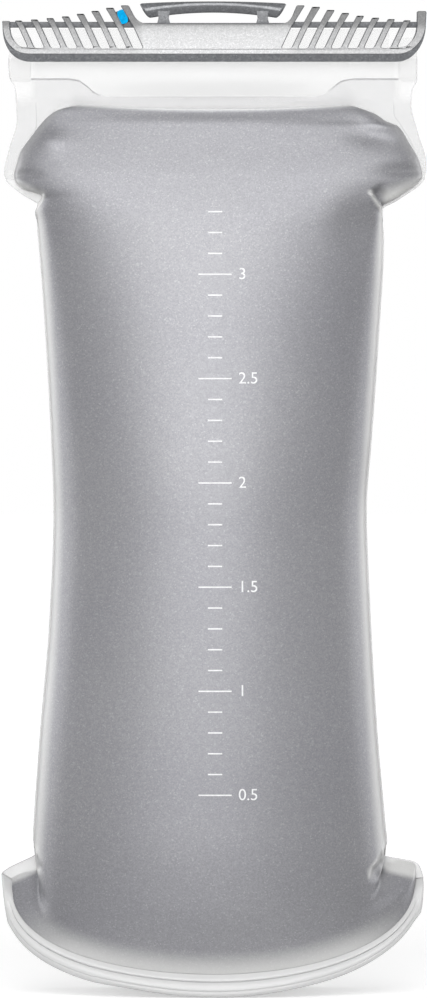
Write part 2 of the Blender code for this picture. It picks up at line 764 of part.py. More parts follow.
def make_button(material, slider):
    """Lock button: rounded pad, a stem through its seat and a head that keeps it in."""
    frame = button_frame()
    button_axis = add_empty("lock_button_axis", frame.translation)
    button_axis.parent = slider
    button_axis.matrix_parent_inverse = slider.matrix_world.inverted()
    pad = box_mesh(
        "pad",
        (-BUTTON_WIDTH / 2, PAD_FRONT_Y, -BUTTON_HEIGHT / 2),
        (BUTTON_WIDTH / 2, PAD_BACK_Y, BUTTON_HEIGHT / 2),
    )
    button = add_part("lock_button", pad, material, button_axis, frame)
    bevel(button, BUTTON_BEVEL)
    stem = box_mesh(
        "stem",
        (-BUTTON_STEM_WIDTH / 2, PAD_BACK_Y - GAP, -BUTTON_STEM_HEIGHT / 2),
        (BUTTON_STEM_WIDTH / 2, HEAD_FRONT_Y + GAP, BUTTON_STEM_HEIGHT / 2),
    )
    head = box_mesh(
        "head",
        (-BUTTON_HEAD_WIDTH / 2, HEAD_FRONT_Y, -BUTTON_HEAD_HEIGHT / 2),
        (BUTTON_HEAD_WIDTH / 2, HEAD_FRONT_Y + BUTTON_HEAD, BUTTON_HEAD_HEIGHT / 2),
    )
    boolean(button, "UNION", add_cutter("button_stem", stem, frame))
    boolean(button, "UNION", add_cutter("button_head", head, frame))


def handle_outline():
    """The arched bar: its ends droop and are deeper than its middle."""
    low = CLOSURE_TOP + HANDLE_GAP
    top = low + HANDLE_BAR
    under = []
    over = []
    for i in range(HANDLE_STEPS + 1):
        share = 2 * i / HANDLE_STEPS - 1
        under.append((share * (HANDLE_HALF - HANDLE_BEVEL), low - HANDLE_LOW_FALL * share * share))
        over.append((share * HANDLE_HALF, top - HANDLE_TOP_FALL * share * share))
    end_mid = low - HANDLE_LOW_FALL + HANDLE_END_BAR / 2
    right_end = (HANDLE_HALF + HANDLE_BEVEL / 2, end_mid)
    left_end = (-right_end[0], end_mid)
    return under + [right_end] + over[::-1] + [left_end]


def post_mesh(sign, foot_z, clear):
    """One of the two posts that carry the handle; its tenon reaches up into the bar."""
    x = sign * POST_X
    share = POST_X / HANDLE_HALF
    under_z = CLOSURE_TOP + HANDLE_GAP - HANDLE_LOW_FALL * share * share
    half_x = POST_WIDTH / 2 + clear
    half_y = POST_DEPTH / 2 + clear
    top = under_z + POST_TENON + clear
    return box_mesh("handle_post", (x - half_x, -half_y, foot_z), (x + half_x, half_y, top))


def make_handle(material, slider):
    """The bar, with a pocket over each post."""
    half = HANDLE_DEPTH / 2
    bar = outline_mesh("handle", handle_outline(), -half, half)
    handle = add_part("hang_handle", bar, material, slider)
    bevel(handle, HANDLE_BEVEL)
    for sign in (-1, 1):
        pocket = post_mesh(sign, SPINE_Z, GAP)
        boolean(handle, "DIFFERENCE", add_cutter("post_pocket", pocket))


def port_frame():
    """Local Z runs out of the back wall along +Y, from the wall's outer face."""
    out = Matrix.Rotation(-math.pi / 2, 4, "X")
    return Matrix.Translation((0, back_wall_y(PORT_Z), PORT_Z)) @ out


def port_hole_cutter():
    radius = CHAMBER_R + PORT_NECK_WALL + GAP
    mesh = cylinder_mesh("port_hole", radius, -PORT_NECK_LENGTH, PORT_FLANGE, PORT_STEPS)
    return add_cutter("port_hole", mesh, port_frame())


def make_port(materials):
    """Port body with its plug socket, seals, valve and release latch."""
    frame = port_frame()
    neck_r = CHAMBER_R + PORT_NECK_WALL
    flange_top = GAP + PORT_FLANGE
    seat_top = SEAT_FACE + SEAT_WEB
    groove_r = PORT_BORE_R - SEAL_BITE + 2 * SEAL_WIRE_R + GAP
    groove_low = SEAL_PLACE - SEAL_WIRE_R - GAP
    groove_high = SEAL_PLACE + SEAL_WIRE_R + GAP
    profile = [
        (PORT_SOCKET_R, PORT_SOCKET_LENGTH),
        (PORT_SOCKET_R, flange_top),
        (PORT_SOCKET_R + PORT_BRIM, flange_top),
        (PORT_SOCKET_R + PORT_BRIM, GAP),
        (neck_r, GAP),
        (neck_r, -PORT_NECK_LENGTH),
        (CHAMBER_R, -PORT_NECK_LENGTH),
        (CHAMBER_R, SEAT_FACE),
        (SEAT_HOLE_R, SEAT_FACE),
        (SEAT_HOLE_R, seat_top),
        (PORT_BORE_R, seat_top),
        (PORT_BORE_R, groove_low),
        (groove_r, groove_low),
        (groove_r, groove_high),
        (PORT_BORE_R, groove_high),
        (PORT_BORE_R, PORT_SOCKET_LENGTH),
    ]
    body = turned_part("port_body", profile, materials["port"], frame, True)
    wall_y = frame.translation.y
    slot_low = wall_y + LATCH_PLACE - LATCH / 2 - GAP
    slot_high = wall_y + LATCH_PLACE + LATCH / 2 + GAP
    floor_z = PORT_Z - LATCH_FLOOR
    slot = box_mesh(
        "latch_slot",
        (-LATCH_HALF - GAP, slot_low, floor_z),
        (LATCH_HALF + GAP, slot_high, PORT_Z + 2 * PORT_SOCKET_R),
    )
    boolean(body, "DIFFERENCE", add_cutter("latch_slot", slot))
    seal_r = groove_r - GAP - SEAL_WIRE_R
    ring = seal_profile(seal_r, SEAL_PLACE)
    turned_part("socket_seal", ring, materials["rubber"], frame, True)
    make_valve(materials, frame)
    make_latch(materials, floor_z)


def seal_profile(radius, height):
    """A round seal's section, running down its outer side."""
    ring = []
    for i in range(SEAL_POINTS):
        angle = -2 * math.pi * i / SEAL_POINTS
        ring.append((radius + SEAL_WIRE_R * math.cos(angle), height + SEAL_WIRE_R * math.sin(angle)))
    return ring


def make_valve(materials, frame):
    """Poppet with its face seal, held out against the seat by a spring on a retainer."""
    axis = add_empty("valve_axis", frame.translation)
    seal_low = SEAT_FACE - GAP - VALVE_SEAL
    head_top = seal_low - GAP
    head_low = head_top - POPPET_HEAD
    poppet = [
        (0.0, head_top + POPPET_PIN),
        (POPPET_PIN_R, head_top + POPPET_PIN),
        (POPPET_PIN_R, head_top),
        (POPPET_R, head_top),
        (POPPET_R, head_low),
        (POPPET_TAIL_R, head_low),
        (POPPET_TAIL_R, head_low - POPPET_TAIL),
        (0.0, head_low - POPPET_TAIL),
    ]
    turned_part("valve_poppet", poppet, materials["valve"], frame, False, axis)
    seal_inner_r = POPPET_R - VALVE_SEAL_WIDTH
    washer = [
        (POPPET_R, seal_low + VALVE_SEAL),
        (POPPET_R, seal_low),
        (seal_inner_r, seal_low),
        (seal_inner_r, seal_low + VALVE_SEAL),
    ]
    turned_part("valve_seal", washer, materials["rubber"], frame, True, axis)
    keeper_low = -PORT_NECK_LENGTH + GAP
    keeper_top = keeper_low + RETAINER
    coil_r = POPPET_R - VALVE_COIL_INSET
    coil = coil_mesh("coil", coil_r, VALVE_WIRE_R, keeper_top + GAP, head_low - GAP, VALVE_TURNS)
    add_part("valve_spring", coil, materials["steel"], None, frame)
    keeper = [
        (CHAMBER_R - GAP, keeper_top),
        (CHAMBER_R - GAP, keeper_low),
        (POPPET_TAIL_R + RETAINER_RUN, keeper_low),
        (POPPET_TAIL_R + RETAINER_RUN, keeper_top),
    ]
    retainer = turned_part("valve_retainer", keeper, materials["port"], frame, True)
    for sign in (-1, 1):
        low, high = sorted((sign * FLOW_SLOT_START, sign * 2 * CHAMBER_R))
        mesh = box_mesh(
            "flow_slot",
            (low, -RETAINER_SLOT / 2, keeper_low - RETAINER),
            (high, RETAINER_SLOT / 2, keeper_top + RETAINER),
        )
        boolean(retainer, "DIFFERENCE", add_cutter("flow_slot", mesh, frame))


def make_latch(materials, floor_z):
    """Sliding latch plate with its push pad on top and a small coil under its foot."""
    wall_y = back_wall_y(PORT_Z)
    middle_y = wall_y + LATCH_PLACE
    axis = add_empty("latch_axis", (0, middle_y, PORT_Z))
    pad_z = PORT_Z + PORT_SOCKET_R + LATCH_TRAVEL + GAP
    foot_z = PORT_Z - LATCH_REACH
    plate = box_mesh(
        "plate",
        (-LATCH_HALF, middle_y - LATCH / 2, foot_z),
        (LATCH_HALF, middle_y + LATCH / 2, pad_z + LATCH_PAD / 2),
    )
    latch = add_part("release_latch", plate, materials["latch"], axis)
    hole_r = PORT_BORE_R + GAP / 2
    lift = hole_r - PORT_BORE_R + LATCH_BITE
    hole = cylinder_mesh("plug_hole", hole_r, -LATCH, LATCH, PORT_STEPS)
    turn = Matrix.Translation((0, middle_y, PORT_Z + lift)) @ Matrix.Rotation(-math.pi / 2, 4, "X")
    boolean(latch, "DIFFERENCE", add_cutter("plug_hole", hole, turn))
    pad_half = LATCH_HALF - LATCH_PAD_INSET
    pad = box_mesh(
        "latch_pad",
        (-pad_half, middle_y - LATCH_PAD_DEPTH / 2, pad_z),
        (pad_half, middle_y + LATCH_PAD_DEPTH / 2, pad_z + LATCH_PAD),
    )
    pad_obj = add_cutter("latch_pad", pad)
    bevel(pad_obj, LATCH_BEVEL)
    boolean(latch, "UNION", pad_obj)
    coil = coil_mesh("coil", LATCH_COIL_R, LATCH_WIRE_R, floor_z + GAP, foot_z - GAP, LATCH_TURNS)
    add_part("latch_spring", coil, materials["steel"], None, Matrix.Translation((0, middle_y, 0)))


def make_materials():
    return {
        "skin": finish("insulated skin", (0.50, 0.51, 0.53), 0.45, metallic=0.25),
        "foam": finish("foam", (0.80, 0.80, 0.78), 0.90),
        "film": finish("clear film", (0.90, 0.91, 0.92), 0.15, alpha=0.35),
        "gusset": finish("gusset film", (0.62, 0.63, 0.65), 0.30),
        "rail": finish("clear rail", (0.90, 0.91, 0.92), 0.20, alpha=0.45),
        "closure": finish("closure grey", (0.74, 0.75, 0.77), 0.45),
        "handle": finish("handle grey", (0.17, 0.18, 0.19), 0.35),
        "button": finish("button blue", (0.01, 0.40, 0.78), 0.35),
        "port": finish("port grey", (0.20, 0.21, 0.23), 0.40),
        "latch": finish("latch blue", (0.01, 0.40, 0.78), 0.35),
        "valve": finish("valve white", (0.85, 0.85, 0.85), 0.40),
        "rubber": finish("seal rubber", (0.03, 0.03, 0.03), 0.70),
        "steel": finish("spring steel", (0.60, 0.60, 0.62), 0.30, metallic=1.0),
    }


def main():
    global PARTS, CUTTERS
    clear_scene()
    PARTS = make_collection("hydration_bladder")
    CUTTERS = make_collection("cutters")
    materials = make_materials()
    make_walls(materials)
    make_side_welds(materials["film"])
    make_base(materials)
    make_mouth(materials)
    slider = add_empty("closure_axis", (0, 0, CLOSURE_TOP))
    make_closure(materials, slider)
    make_handle(materials["handle"], slider)
    make_button(materials["button"], slider)
    make_port(materials)


main()
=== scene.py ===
"""Looks of an insulated hydration bladder: padded walls, clear welds, slide closure, port and studio.

Metres, +Z up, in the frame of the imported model. The front faces -Y.
"""

import math

import bmesh
import bpy
from mathutils import Matrix, Vector
from mathutils.bvhtree import BVHTree


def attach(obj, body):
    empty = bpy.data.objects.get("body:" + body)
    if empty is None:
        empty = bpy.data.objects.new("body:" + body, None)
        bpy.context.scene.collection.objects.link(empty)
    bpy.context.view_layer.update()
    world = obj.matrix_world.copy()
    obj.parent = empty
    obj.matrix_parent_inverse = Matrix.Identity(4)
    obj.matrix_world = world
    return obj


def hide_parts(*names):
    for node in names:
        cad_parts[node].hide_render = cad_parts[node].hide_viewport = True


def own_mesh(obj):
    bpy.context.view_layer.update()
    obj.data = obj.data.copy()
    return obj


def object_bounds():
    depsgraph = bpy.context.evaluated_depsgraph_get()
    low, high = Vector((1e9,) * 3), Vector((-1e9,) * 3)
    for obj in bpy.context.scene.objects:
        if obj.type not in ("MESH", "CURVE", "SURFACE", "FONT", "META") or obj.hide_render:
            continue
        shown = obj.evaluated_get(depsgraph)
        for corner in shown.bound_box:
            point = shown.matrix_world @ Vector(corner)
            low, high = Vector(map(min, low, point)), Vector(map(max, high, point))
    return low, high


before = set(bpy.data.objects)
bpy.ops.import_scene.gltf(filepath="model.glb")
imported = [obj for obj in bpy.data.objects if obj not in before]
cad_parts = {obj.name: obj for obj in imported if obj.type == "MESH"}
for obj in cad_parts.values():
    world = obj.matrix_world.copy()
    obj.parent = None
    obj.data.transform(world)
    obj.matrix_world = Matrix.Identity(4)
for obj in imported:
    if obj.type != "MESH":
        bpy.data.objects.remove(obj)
CAD_LOW, CAD_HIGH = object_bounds()

MM = 0.001


def mm(stations):
    """Listed pairs in millimetres as metres."""
    return [(a * MM, b * MM) for a, b in stations]


# Side seam of the padded walls: (height, half width), ears and notches included
LEFT_SEAM = mm([
    (50.5, 93.0), (51.5, 92.8), (52.6, 91.2), (53.6, 89.2), (54.6, 86.5), (55.4, 83.2), (56.4, 81.0),
    (58.0, 80.0), (60.5, 80.0), (63.0, 81.0), (66.0, 82.0), (70.0, 82.3), (76.0, 82.0), (116.0, 79.2),
    (171.0, 74.6), (220.0, 72.8), (238.0, 73.3), (306.0, 76.9), (351.0, 80.5), (355.5, 81.1), (358.0, 80.5),
    (360.0, 79.3), (361.5, 78.5), (362.8, 79.8), (363.5, 82.0), (364.5, 85.8), (366.3, 88.8), (369.0, 90.8),
    (371.5, 91.2), (377.5, 89.8), (382.3, 88.3), (386.4, 85.5), (394.6, 79.2), (399.7, 74.7), (402.0, 71.5), (403.6, 66.0),
])
RIGHT_SEAM = mm([
    (51.5, 91.0), (55.0, 91.4), (57.6, 91.2), (59.0, 89.8), (59.8, 86.0), (60.6, 81.5), (61.2, 78.0),
    (62.0, 75.6), (63.2, 75.3), (65.0, 76.6), (68.0, 77.8), (76.0, 77.0), (125.0, 72.8), (180.0, 69.7), (220.0, 68.3),
    (252.0, 70.6), (297.0, 73.7), (342.0, 76.0), (352.0, 75.8), (356.6, 75.2), (360.4, 81.5),
    (363.9, 86.7), (367.3, 91.5), (371.5, 94.1), (378.1, 92.6), (382.3, 90.5), (386.4, 88.0),
    (393.7, 83.2), (396.0, 77.9), (400.4, 72.0), (403.6, 64.0),
])

# The same walls without the notches at the roots of their ears
LEFT_BODY = mm([
    (51.5, 92.9), (56.0, 89.5), (62.0, 86.0), (68.0, 83.8), (76.0, 82.4), (90.0, 81.3), (116.0, 79.2), (171.0, 74.6),
    (220.0, 72.8), (238.0, 73.3), (306.0, 76.9), (335.0, 79.4), (351.0, 82.6), (360.0, 86.8), (366.3, 90.2),
    (369.0, 91.0), (371.5, 91.2), (377.5, 89.8), (382.3, 88.3), (386.4, 85.5), (394.6, 79.2), (399.7, 74.7), (402.0, 71.5), (403.6, 66.0),
])
RIGHT_BODY = mm([
    (51.5, 91.0), (55.0, 88.8), (60.0, 85.0), (66.0, 81.0), (76.0, 77.8), (90.0, 75.7), (125.0, 72.8), (180.0, 69.7),
    (220.0, 68.3), (252.0, 70.6), (297.0, 73.7), (330.0, 76.2), (345.0, 79.0), (356.0, 84.0), (363.9, 89.8),
    (371.5, 94.1), (378.1, 92.6), (382.3, 90.5), (386.4, 88.0), (393.7, 83.2), (396.0, 77.9), (400.4, 72.0),
    (403.6, 64.0),
])

# Half depth of the filled bag, and how squarely a wall turns in to its seam
DEPTH = mm([
    (51.5, 31.0), (62.0, 35.2), (74.0, 37.6), (100.0, 38.8), (150.0, 39.0), (222.0, 38.0),
    (300.0, 31.5), (350.0, 24.0), (371.0, 18.0), (385.0, 13.0), (403.2, 6.2),
])
FULLNESS = [(51.5 * MM, 0.85), (371.0 * MM, 0.85), (385.0 * MM, 1.0), (395.0 * MM, 1.3), (403.2 * MM, 1.7)]
NOTCH_POWER = 10
WALL_SPANS = [(51.5, 68.0, 34), (68.0, 100.0, 18), (100.0, 340.0, 80), (340.0, 376.0, 72), (376.0, 403.6, 32)]
WALL_COLUMNS = 200
WALL_THICKNESS = 0.8 * MM
# Painted light and shade on the walls by height: (height share, level), darker towards the base and lighter above the
# waist
WALL_PAINTED_SHADING = [(0.07, 0.84), (0.12, 0.90), (0.17, 0.97), (0.31, 1.05), (0.48, 1.03), (0.65, 0.98), (0.93, 0.92), (1.0, 0.97)]
SEAM_LOW = 51.5 * MM
BASE_FADE = 9.0 * MM
PANEL_TOP = 403.6 * MM
SCOOP = 41.0 * MM
SCOOP_POWER = 3
SCOOP_ROUND_LEFT = 0.79
SCOOP_ROUND_RIGHT = 0.89
SEAM_HALF_GAP = 0.5 * MM
DENT_LIMIT = 0.6
TOP_BLEND = 9.0 * MM
TOP_DIP = 2.1 * MM
TOP_CORNER = 1.0 * MM
TOP_PALE = 1.2 * MM
TOP_CORNER_POWER = 30

# Soft dents, and bulges where the depth is negative: (x, z, half length, half height, turn in degrees, depth)
DENTS = [
    (-76.0, 387.0, 8.0, 4.6, 0.0, -1.2),
    (76.0, 394.5, 10.0, 3.6, -22.0, -1.3),
    (71.0, 389.5, 11.0, 4.5, -5.0, 0.9),
    (88.0, 373.6, 11.0, 3.2, 0.0, 2.0),
    (-87.0, 371.8, 6.0, 2.4, 0.0, 1.6),
    (66.0, 349.0, 9.0, 10.0, 0.0, 1.6),
]

# Pinch folds: (start x, start z, end x, end z, side of the pocket, depth)
PINCHES = [
    (75.8, 355.8, 70.4, 364.4, 1, 5.0),
    (-81.5, 357.0, -77.0, 363.5, -1, 3.0),
    (76.6, 64.0, 69.6, 55.0, -1, 6.5),
    (-81.0, 62.5, -77.5, 57.0, 1, 3.0),
]
PINCH_LIP = 1.0 * MM
PINCH_FLOOR = 2.0 * MM
PINCH_REACH = 8.0 * MM
PINCH_ROLL = 1.0 * MM
PINCH_FADE = (0.75, 1.1)

# Pale bands along the ears: welded edges with painted highlights on their rolled edges, and in the last three rows
# painted highlights on the lips of the pinch folds: (start x, start z, end x, end z, width, faded width, first share,
# strength)
EAR_WELDS_AND_HIGHLIGHTS = [
    (75.2, 357.5, 95.5, 364.6, 2.0, 9.5, 0.15, 0.8),
    (-78.5, 361.8, -92.5, 367.5, 0.8, 4.5, 0.0, 0.5),
    (75.5, 61.6, 91.2, 58.0, 4.0, 7.5, 0.20, 0.7),
    (-80.0, 57.0, -92.8, 51.5, 0.5, 3.0, 0.0, 0.5),
    (76.2, 354.5, 70.4, 364.2, 0.4, 1.4, 0.0, 0.65),
    (77.2, 64.5, 69.6, 55.2, 0.4, 1.4, 0.0, 0.6),
    (-81.5, 356.0, -78.0, 362.5, 0.5, 1.8, 0.0, 0.6),
]

# Free edge of the clear flange beside the side seam: (seam height, edge half width, edge height)
LEFT_EDGE = [
    (49.0, 96.6, 49.5), (51.5, 97.2, 53.8), (52.6, 95.0, 55.9), (53.6, 92.8, 57.2), (54.6, 90.2, 58.5),
    (55.4, 87.6, 59.7), (56.4, 85.2, 60.8), (58.0, 83.2, 61.8), (60.5, 82.0, 62.6), (63.0, 81.6, 63.6),
    (66.0, 82.6, 66.2), (70.0, 82.8, 70.0), (355.0, 81.7, 355.0), (358.0, 80.9, 357.3), (360.0, 80.7, 358.7),
    (361.5, 81.6, 359.3), (362.8, 83.0, 360.1), (363.5, 85.0, 361.2), (364.5, 88.2, 363.2), (366.3, 91.4, 365.7),
    (369.0, 94.3, 368.3), (371.5, 95.7, 370.6), (373.0, 95.8, 372.0),
]
RIGHT_EDGE = [
    (49.0, 94.9, 49.3), (51.5, 94.8, 51.8), (54.0, 94.3, 54.2), (56.5, 93.4, 56.8), (57.6, 92.4, 58.2), (59.0, 90.4, 59.6),
    (59.8, 86.4, 60.4), (60.6, 81.9, 61.2), (61.2, 78.4, 61.8), (62.0, 76.4, 62.3), (63.2, 76.0, 63.4),
    (66.0, 78.0, 66.0), (70.0, 78.2, 70.0), (352.0, 76.2, 352.0), (356.6, 76.2, 356.0), (360.4, 82.3, 359.7),
    (363.9, 87.6, 363.2), (367.3, 92.5, 366.6), (371.5, 95.6, 371.0), (373.0, 95.8, 372.5),
]
LEFT_FOLD = [(64.0 * MM, 0.0), (72.0 * MM, 1.0), (346.0 * MM, 1.0), (355.0 * MM, 0.0)]
RIGHT_FOLD = [(64.0 * MM, 0.0), (70.0 * MM, 1.0), (344.0 * MM, 1.0), (352.0 * MM, 0.0)]
FLANGE_FOLDED = 4.0 * MM
FLANGE_SHARES = [0.0, 0.25, 0.5, 0.75, 0.88, 1.0]
FLANGE_EDGES = [0.0, 0.0, 0.0, 0.0, 0.1, 1.0]
FLANGE_THICKNESS = 0.7 * MM
FLANGE_TOP = 370.3 * MM
FLANGE_TUCK = [49.0 * MM, 50.2 * MM]

# Base rim: weld line, free edge and the relief of its layers, (distance from the weld line, height)
RIM_LEFT = 96.5 * MM
RIM_RIGHT = 95.5 * MM
RIM_EAR_Z = 51.0 * MM
RIM_END_LEFT = (97.2 * MM, 53.8 * MM)
RIM_END_RIGHT = (94.8 * MM, 51.8 * MM)
RIM_END_BLEND = 0.22
RIM_END_LIFT = 0.1
RIM_FULL_LEFT = 0.68
RIM_FULL_RIGHT = 0.90
RIM_TIP_LEFT = 0.08
RIM_TIP_RIGHT = 0.30
RIM_SPLAY = 4.0 * MM
RIM_WIDTH = 10.3 * MM
RIM_RELIEF = mm([
    (0.0, -0.4), (0.3, -0.1), (0.55, 0.15), (0.9, 0.4), (1.7, 0.55), (2.4, 0.95), (3.0, 0.75), (3.35, 0.3), (3.65, -0.1),
    (3.95, 0.2), (4.6, 0.42), (5.6, 0.62), (6.6, 0.5), (7.1, 0.3), (7.5, 0.0), (7.8, -0.2),
])
# Painted shade along the rim's weld line, a groove and the front layer's edge: (distance from the weld line,
# strength), and its width
RIM_GROOVE_SHADES = [(0.0 * MM, 1.0), (3.65 * MM, 0.75), (7.65 * MM, 0.6)]
RIM_LINE = 0.35 * MM
RIM_COLUMNS = 160
RIM_THICKNESS = 0.7 * MM
GUSSET_BACKSET = 0.8 * MM
GUSSET_SAG = 9.0 * MM
GUSSET_FLOOR = 0.7 * MM
GUSSET_FLATNESS = 4
GUSSET_ROWS = 24
GUSSET_FLANGE_ROWS = 5
GUSSET_THICKNESS = 0.5 * MM

# Clear collar above the walls: outer edges, (height, half width)
COLLAR_LEFT = mm([
    (369.5, 94.9), (371.9, 95.9), (383.2, 93.6), (396.7, 90.0), (406.0, 90.5), (411.7, 91.1), (415.3, 93.2),
    (421.4, 93.9), (428.9, 93.6), (437.85, 91.8),
])
COLLAR_RIGHT = mm([
    (369.5, 95.2), (376.4, 95.9), (392.0, 91.8), (403.5, 89.1), (410.0, 89.6), (414.9, 91.8), (437.85, 91.8),
])
COLLAR_LOW = 369.5 * MM
MOUTH_TOP = 437.85 * MM
COLLAR_COLUMNS = 120
COLLAR_ROWS = 44
COLLAR_Y = 0.55 * MM
COLLAR_TUCK = 0.25 * MM
COLLAR_CLOSE = 13.5 * MM
COLLAR_FADE = 16.0 * MM
COLLAR_EDGE = (0.15 * MM, 0.6 * MM)
EDGE_GREY = (0.46, 0.46, 0.47)
FILM_THICKNESS = 0.35 * MM

# Line where the collar is welded down beside the walls, (height, half width)
WELD_LEFT = mm([(369.5, 93.6), (372.0, 92.6), (382.0, 88.0), (384.5, 85.8), (389.6, 82.2), (397.7, 81.0), (408.0, 82.2)])
WELD_RIGHT = mm([(369.5, 94.9), (377.0, 94.5), (381.7, 91.4), (388.6, 87.8), (394.8, 84.0), (399.9, 81.1), (408.0, 81.6)])
WELD_SHARE = 0.7

# Weld strip that carries the rails, and the corner tabs
STRIP_END = 83.0 * MM
STRIP_TOP = 424.5 * MM
STRIP_EDGE = [(48.0 * MM, 407.4 * MM), (52.0 * MM, 408.2 * MM), (56.0 * MM, 411.6 * MM), (60.0 * MM, 414.2 * MM), (64.5 * MM, 415.0 * MM)]
STRIP_ROWS = 24
STRIP_PROUD = 0.45 * MM
# Heights of the painted shade in the collar's fold over the wall top
FOLD_SHADE_Z = (404.0 * MM, 408.0 * MM)
TAB_LEFT = (-93.4 * MM, -83.6 * MM)
TAB_RIGHT = (83.2 * MM, 91.4 * MM)
TAB_LOW = 413.8 * MM
TAB_HIGH = 434.0 * MM
TAB_CORNER = 3.6 * MM
TAB_BACK_Y = 0.5 * MM
TAB_FRONT_Y = 1.6 * MM

# Mouth rails
RAIL_HALF = 79.0 * MM
RAIL_SECTION = mm([(1.2, 424.1), (1.8, 424.1), (1.8, 427.9), (4.6, 427.9), (4.6, 430.9), (1.8, 432.3), (1.8, 437.85), (1.2, 437.85)])
RAIL_EDGE = 0.2 * MM

# Slide closure
CLOSURE_ENDS = {-1: 96.4 * MM, 1: 95.6 * MM}
FACE_Z = 426.5 * MM
FACE_TOP = 440.15 * MM
LIP_Z = 423.05 * MM
SPINE_Z = 438.5 * MM
SPINE_TOP = 441.1 * MM
SPINE_DIP = 440.6 * MM
WALL_OUT_Y = 6.6 * MM
WALL_IN_Y = 5.0 * MM
SPINE_Y = WALL_IN_Y + 0.4 * MM
LIP_OUT_Y = 6.1 * MM
SLOT_HALF_Y = 2.2 * MM
CORNER_RX = 13.0 * MM
CORNER_SQUARE = {-1: 0.87, 1: 1.0}
CORNER_STEPS = 14
SLOT_COUNT = 8
SLOT_FIRST_X = {-1: 34.75 * MM, 1: 32.2 * MM}
SLOT_PITCH = {-1: 7.44 * MM, 1: 7.47 * MM}
SLOT_HALF = 2.24 * MM
SLOT_Z = 428.9 * MM
# The slots' bottoms stand on a shallow curve, so that no three of their corners are in one line
SLOT_RISE = 0.005 * MM
SLOT_SHIFT = {-1: 0.0, 1: 0.03 * MM}
SLOT_OUTER_ROUND = 1.9 * MM
SLOT_INNER_ROUND = 0.9 * MM
RIB_LEAN = {-1: math.tan(math.radians(24.7)), 1: math.tan(math.radians(25.6))}
RIB_BEND = 0.10
RIB_SPREAD = 0.04
RIB_TOPS = mm([
    (39.5, 448.6), (46.5, 447.3), (53.3, 446.0), (60.2, 444.8), (67.0, 443.7), (74.1, 442.9), (81.2, 442.3),
    (88.1, 441.8), (95.2, 441.5),
])
RIB_ROUND = 0.5 * MM
BORDER_X = {-1: 3.4 * MM, 1: 4.1 * MM}
BORDER_Z = 2.3 * MM
PLATE_CORNER = {-1: 34.8 * MM, 1: 33.6 * MM}
PLATE_FLAT = 25.0 * MM
PLATE_ROUND = 8.5 * MM
STOP_IN = 91.6 * MM
STOP_OUT = 95.9 * MM
STOP_TOP = 446.0 * MM
STOP_ROUND = 0.9 * MM
FACE_EDGE = 0.35 * MM
ARC_STEPS = 6
# Painted shade on the closure's face and ribs by height, darker towards the rib tops
PLATE_PAINTED_SHADE = [(0.0, 0.84), (0.15, 0.87), (0.25, 0.83), (0.42, 0.79), (0.507, 0.70), (0.548, 0.64), (0.579, 0.52), (0.60, 0.36), (1.0, 0.30)]
RIB_PAINTED_SHADE = [(0.0, 0.78), (0.12, 0.66), (0.25, 0.58), (0.50, 0.52), (0.56, 0.38), (0.61, 0.30), (0.67, 0.27), (1.0, 0.24)]
END_WALL = (92.2 * MM, 93.4 * MM)
END_WALL_LOW = 435.4 * MM

# Hang handle and its posts
HANDLE_X = -0.9 * MM
HANDLE_HALF = 33.2 * MM
HANDLE_SLANT = 3.0 * MM
HANDLE_LOW = 445.3 * MM
HANDLE_TOP = 450.4 * MM
HANDLE_LOW_FALL = 2.5 * MM
HANDLE_TOP_FALL = 0.9 * MM
HANDLE_STEPS = 64
HANDLE_RIDGE = 0.74
HANDLE_RIDGE_FALL = 0.22
HANDLE_HALF_DEPTH = 4.2 * MM
HANDLE_END_ROUND = 0.04
HANDLE_TOE = 0.9 * MM
HANDLE_TOE_HEIGHT = 0.3
POST_X = {-1: -23.3 * MM, 1: 21.6 * MM}
POST_WAIST = 2.3 * MM
POST_FOOT = 3.2 * MM
POST_HALF_DEPTH = 3.95 * MM

# Lock button
BUTTON_HALF_WIDTH = 1.95 * MM
BUTTON_HALF_HEIGHT = 3.3 * MM
BUTTON_ROUND = 1.9 * MM
BUTTON_LEAN = math.radians(20.0)
BUTTON_FRONT_Y = -6.35 * MM
BUTTON_BACK_Y = -4.2 * MM
BUTTON_Z = 443.4 * MM
BUTTON_RIBS = 3
BUTTON_RIB_PITCH = 1.25 * MM
SEAT_FRONT_Y = -2.7 * MM
SEAT_BACK_Y = -0.7 * MM

# Outlet port on the back, turned about an axis along +Y: (radius, distance from the wall's face)
PORT_Z = 84.0 * MM
PORT_WALL_Y = 37.647 * MM
PORT_PROFILE = mm([
    (13.9, 15.0), (14.35, 14.8), (14.53, 14.35), (14.53, 3.1), (14.75, 2.55), (15.3, 2.3), (17.5, 2.3), (17.9, 2.1),
    (18.03, 1.7), (18.03, -0.2), (7.6, -0.2), (7.6, -11.0), (5.2, -11.0), (5.2, 0.6), (3.0, 0.6), (3.0, 2.4), (5.0, 2.4),
    (5.0, 4.85), (6.55, 4.85), (6.55, 7.15), (5.0, 7.15), (5.0, 14.2), (5.25, 14.75), (5.8, 15.0),
])
PORT_STEPS = 96
PORT_SEAT_R = 19.0 * MM
PORT_SEAT_BLEND = 30.0 * MM
PORT_SEAT_Y = 37.5 * MM
LATCH_HALF = 7.0 * MM
LATCH_Y = (47.547 * MM, 49.347 * MM)
LATCH_RUN = 0.3 * MM
LATCH_FLOOR = 73.7 * MM
LATCH_FOOT = 77.5 * MM
LATCH_PAD_Z = 100.23 * MM
LATCH_PAD = 2.8 * MM
LATCH_PAD_HALF = (6.5 * MM, 2.8 * MM)
LATCH_HOLE_R = 5.15 * MM
LATCH_HOLE_Z = 85.15 * MM
LATCH_RIBS = 5
LATCH_RIB_PITCH = 2.2 * MM

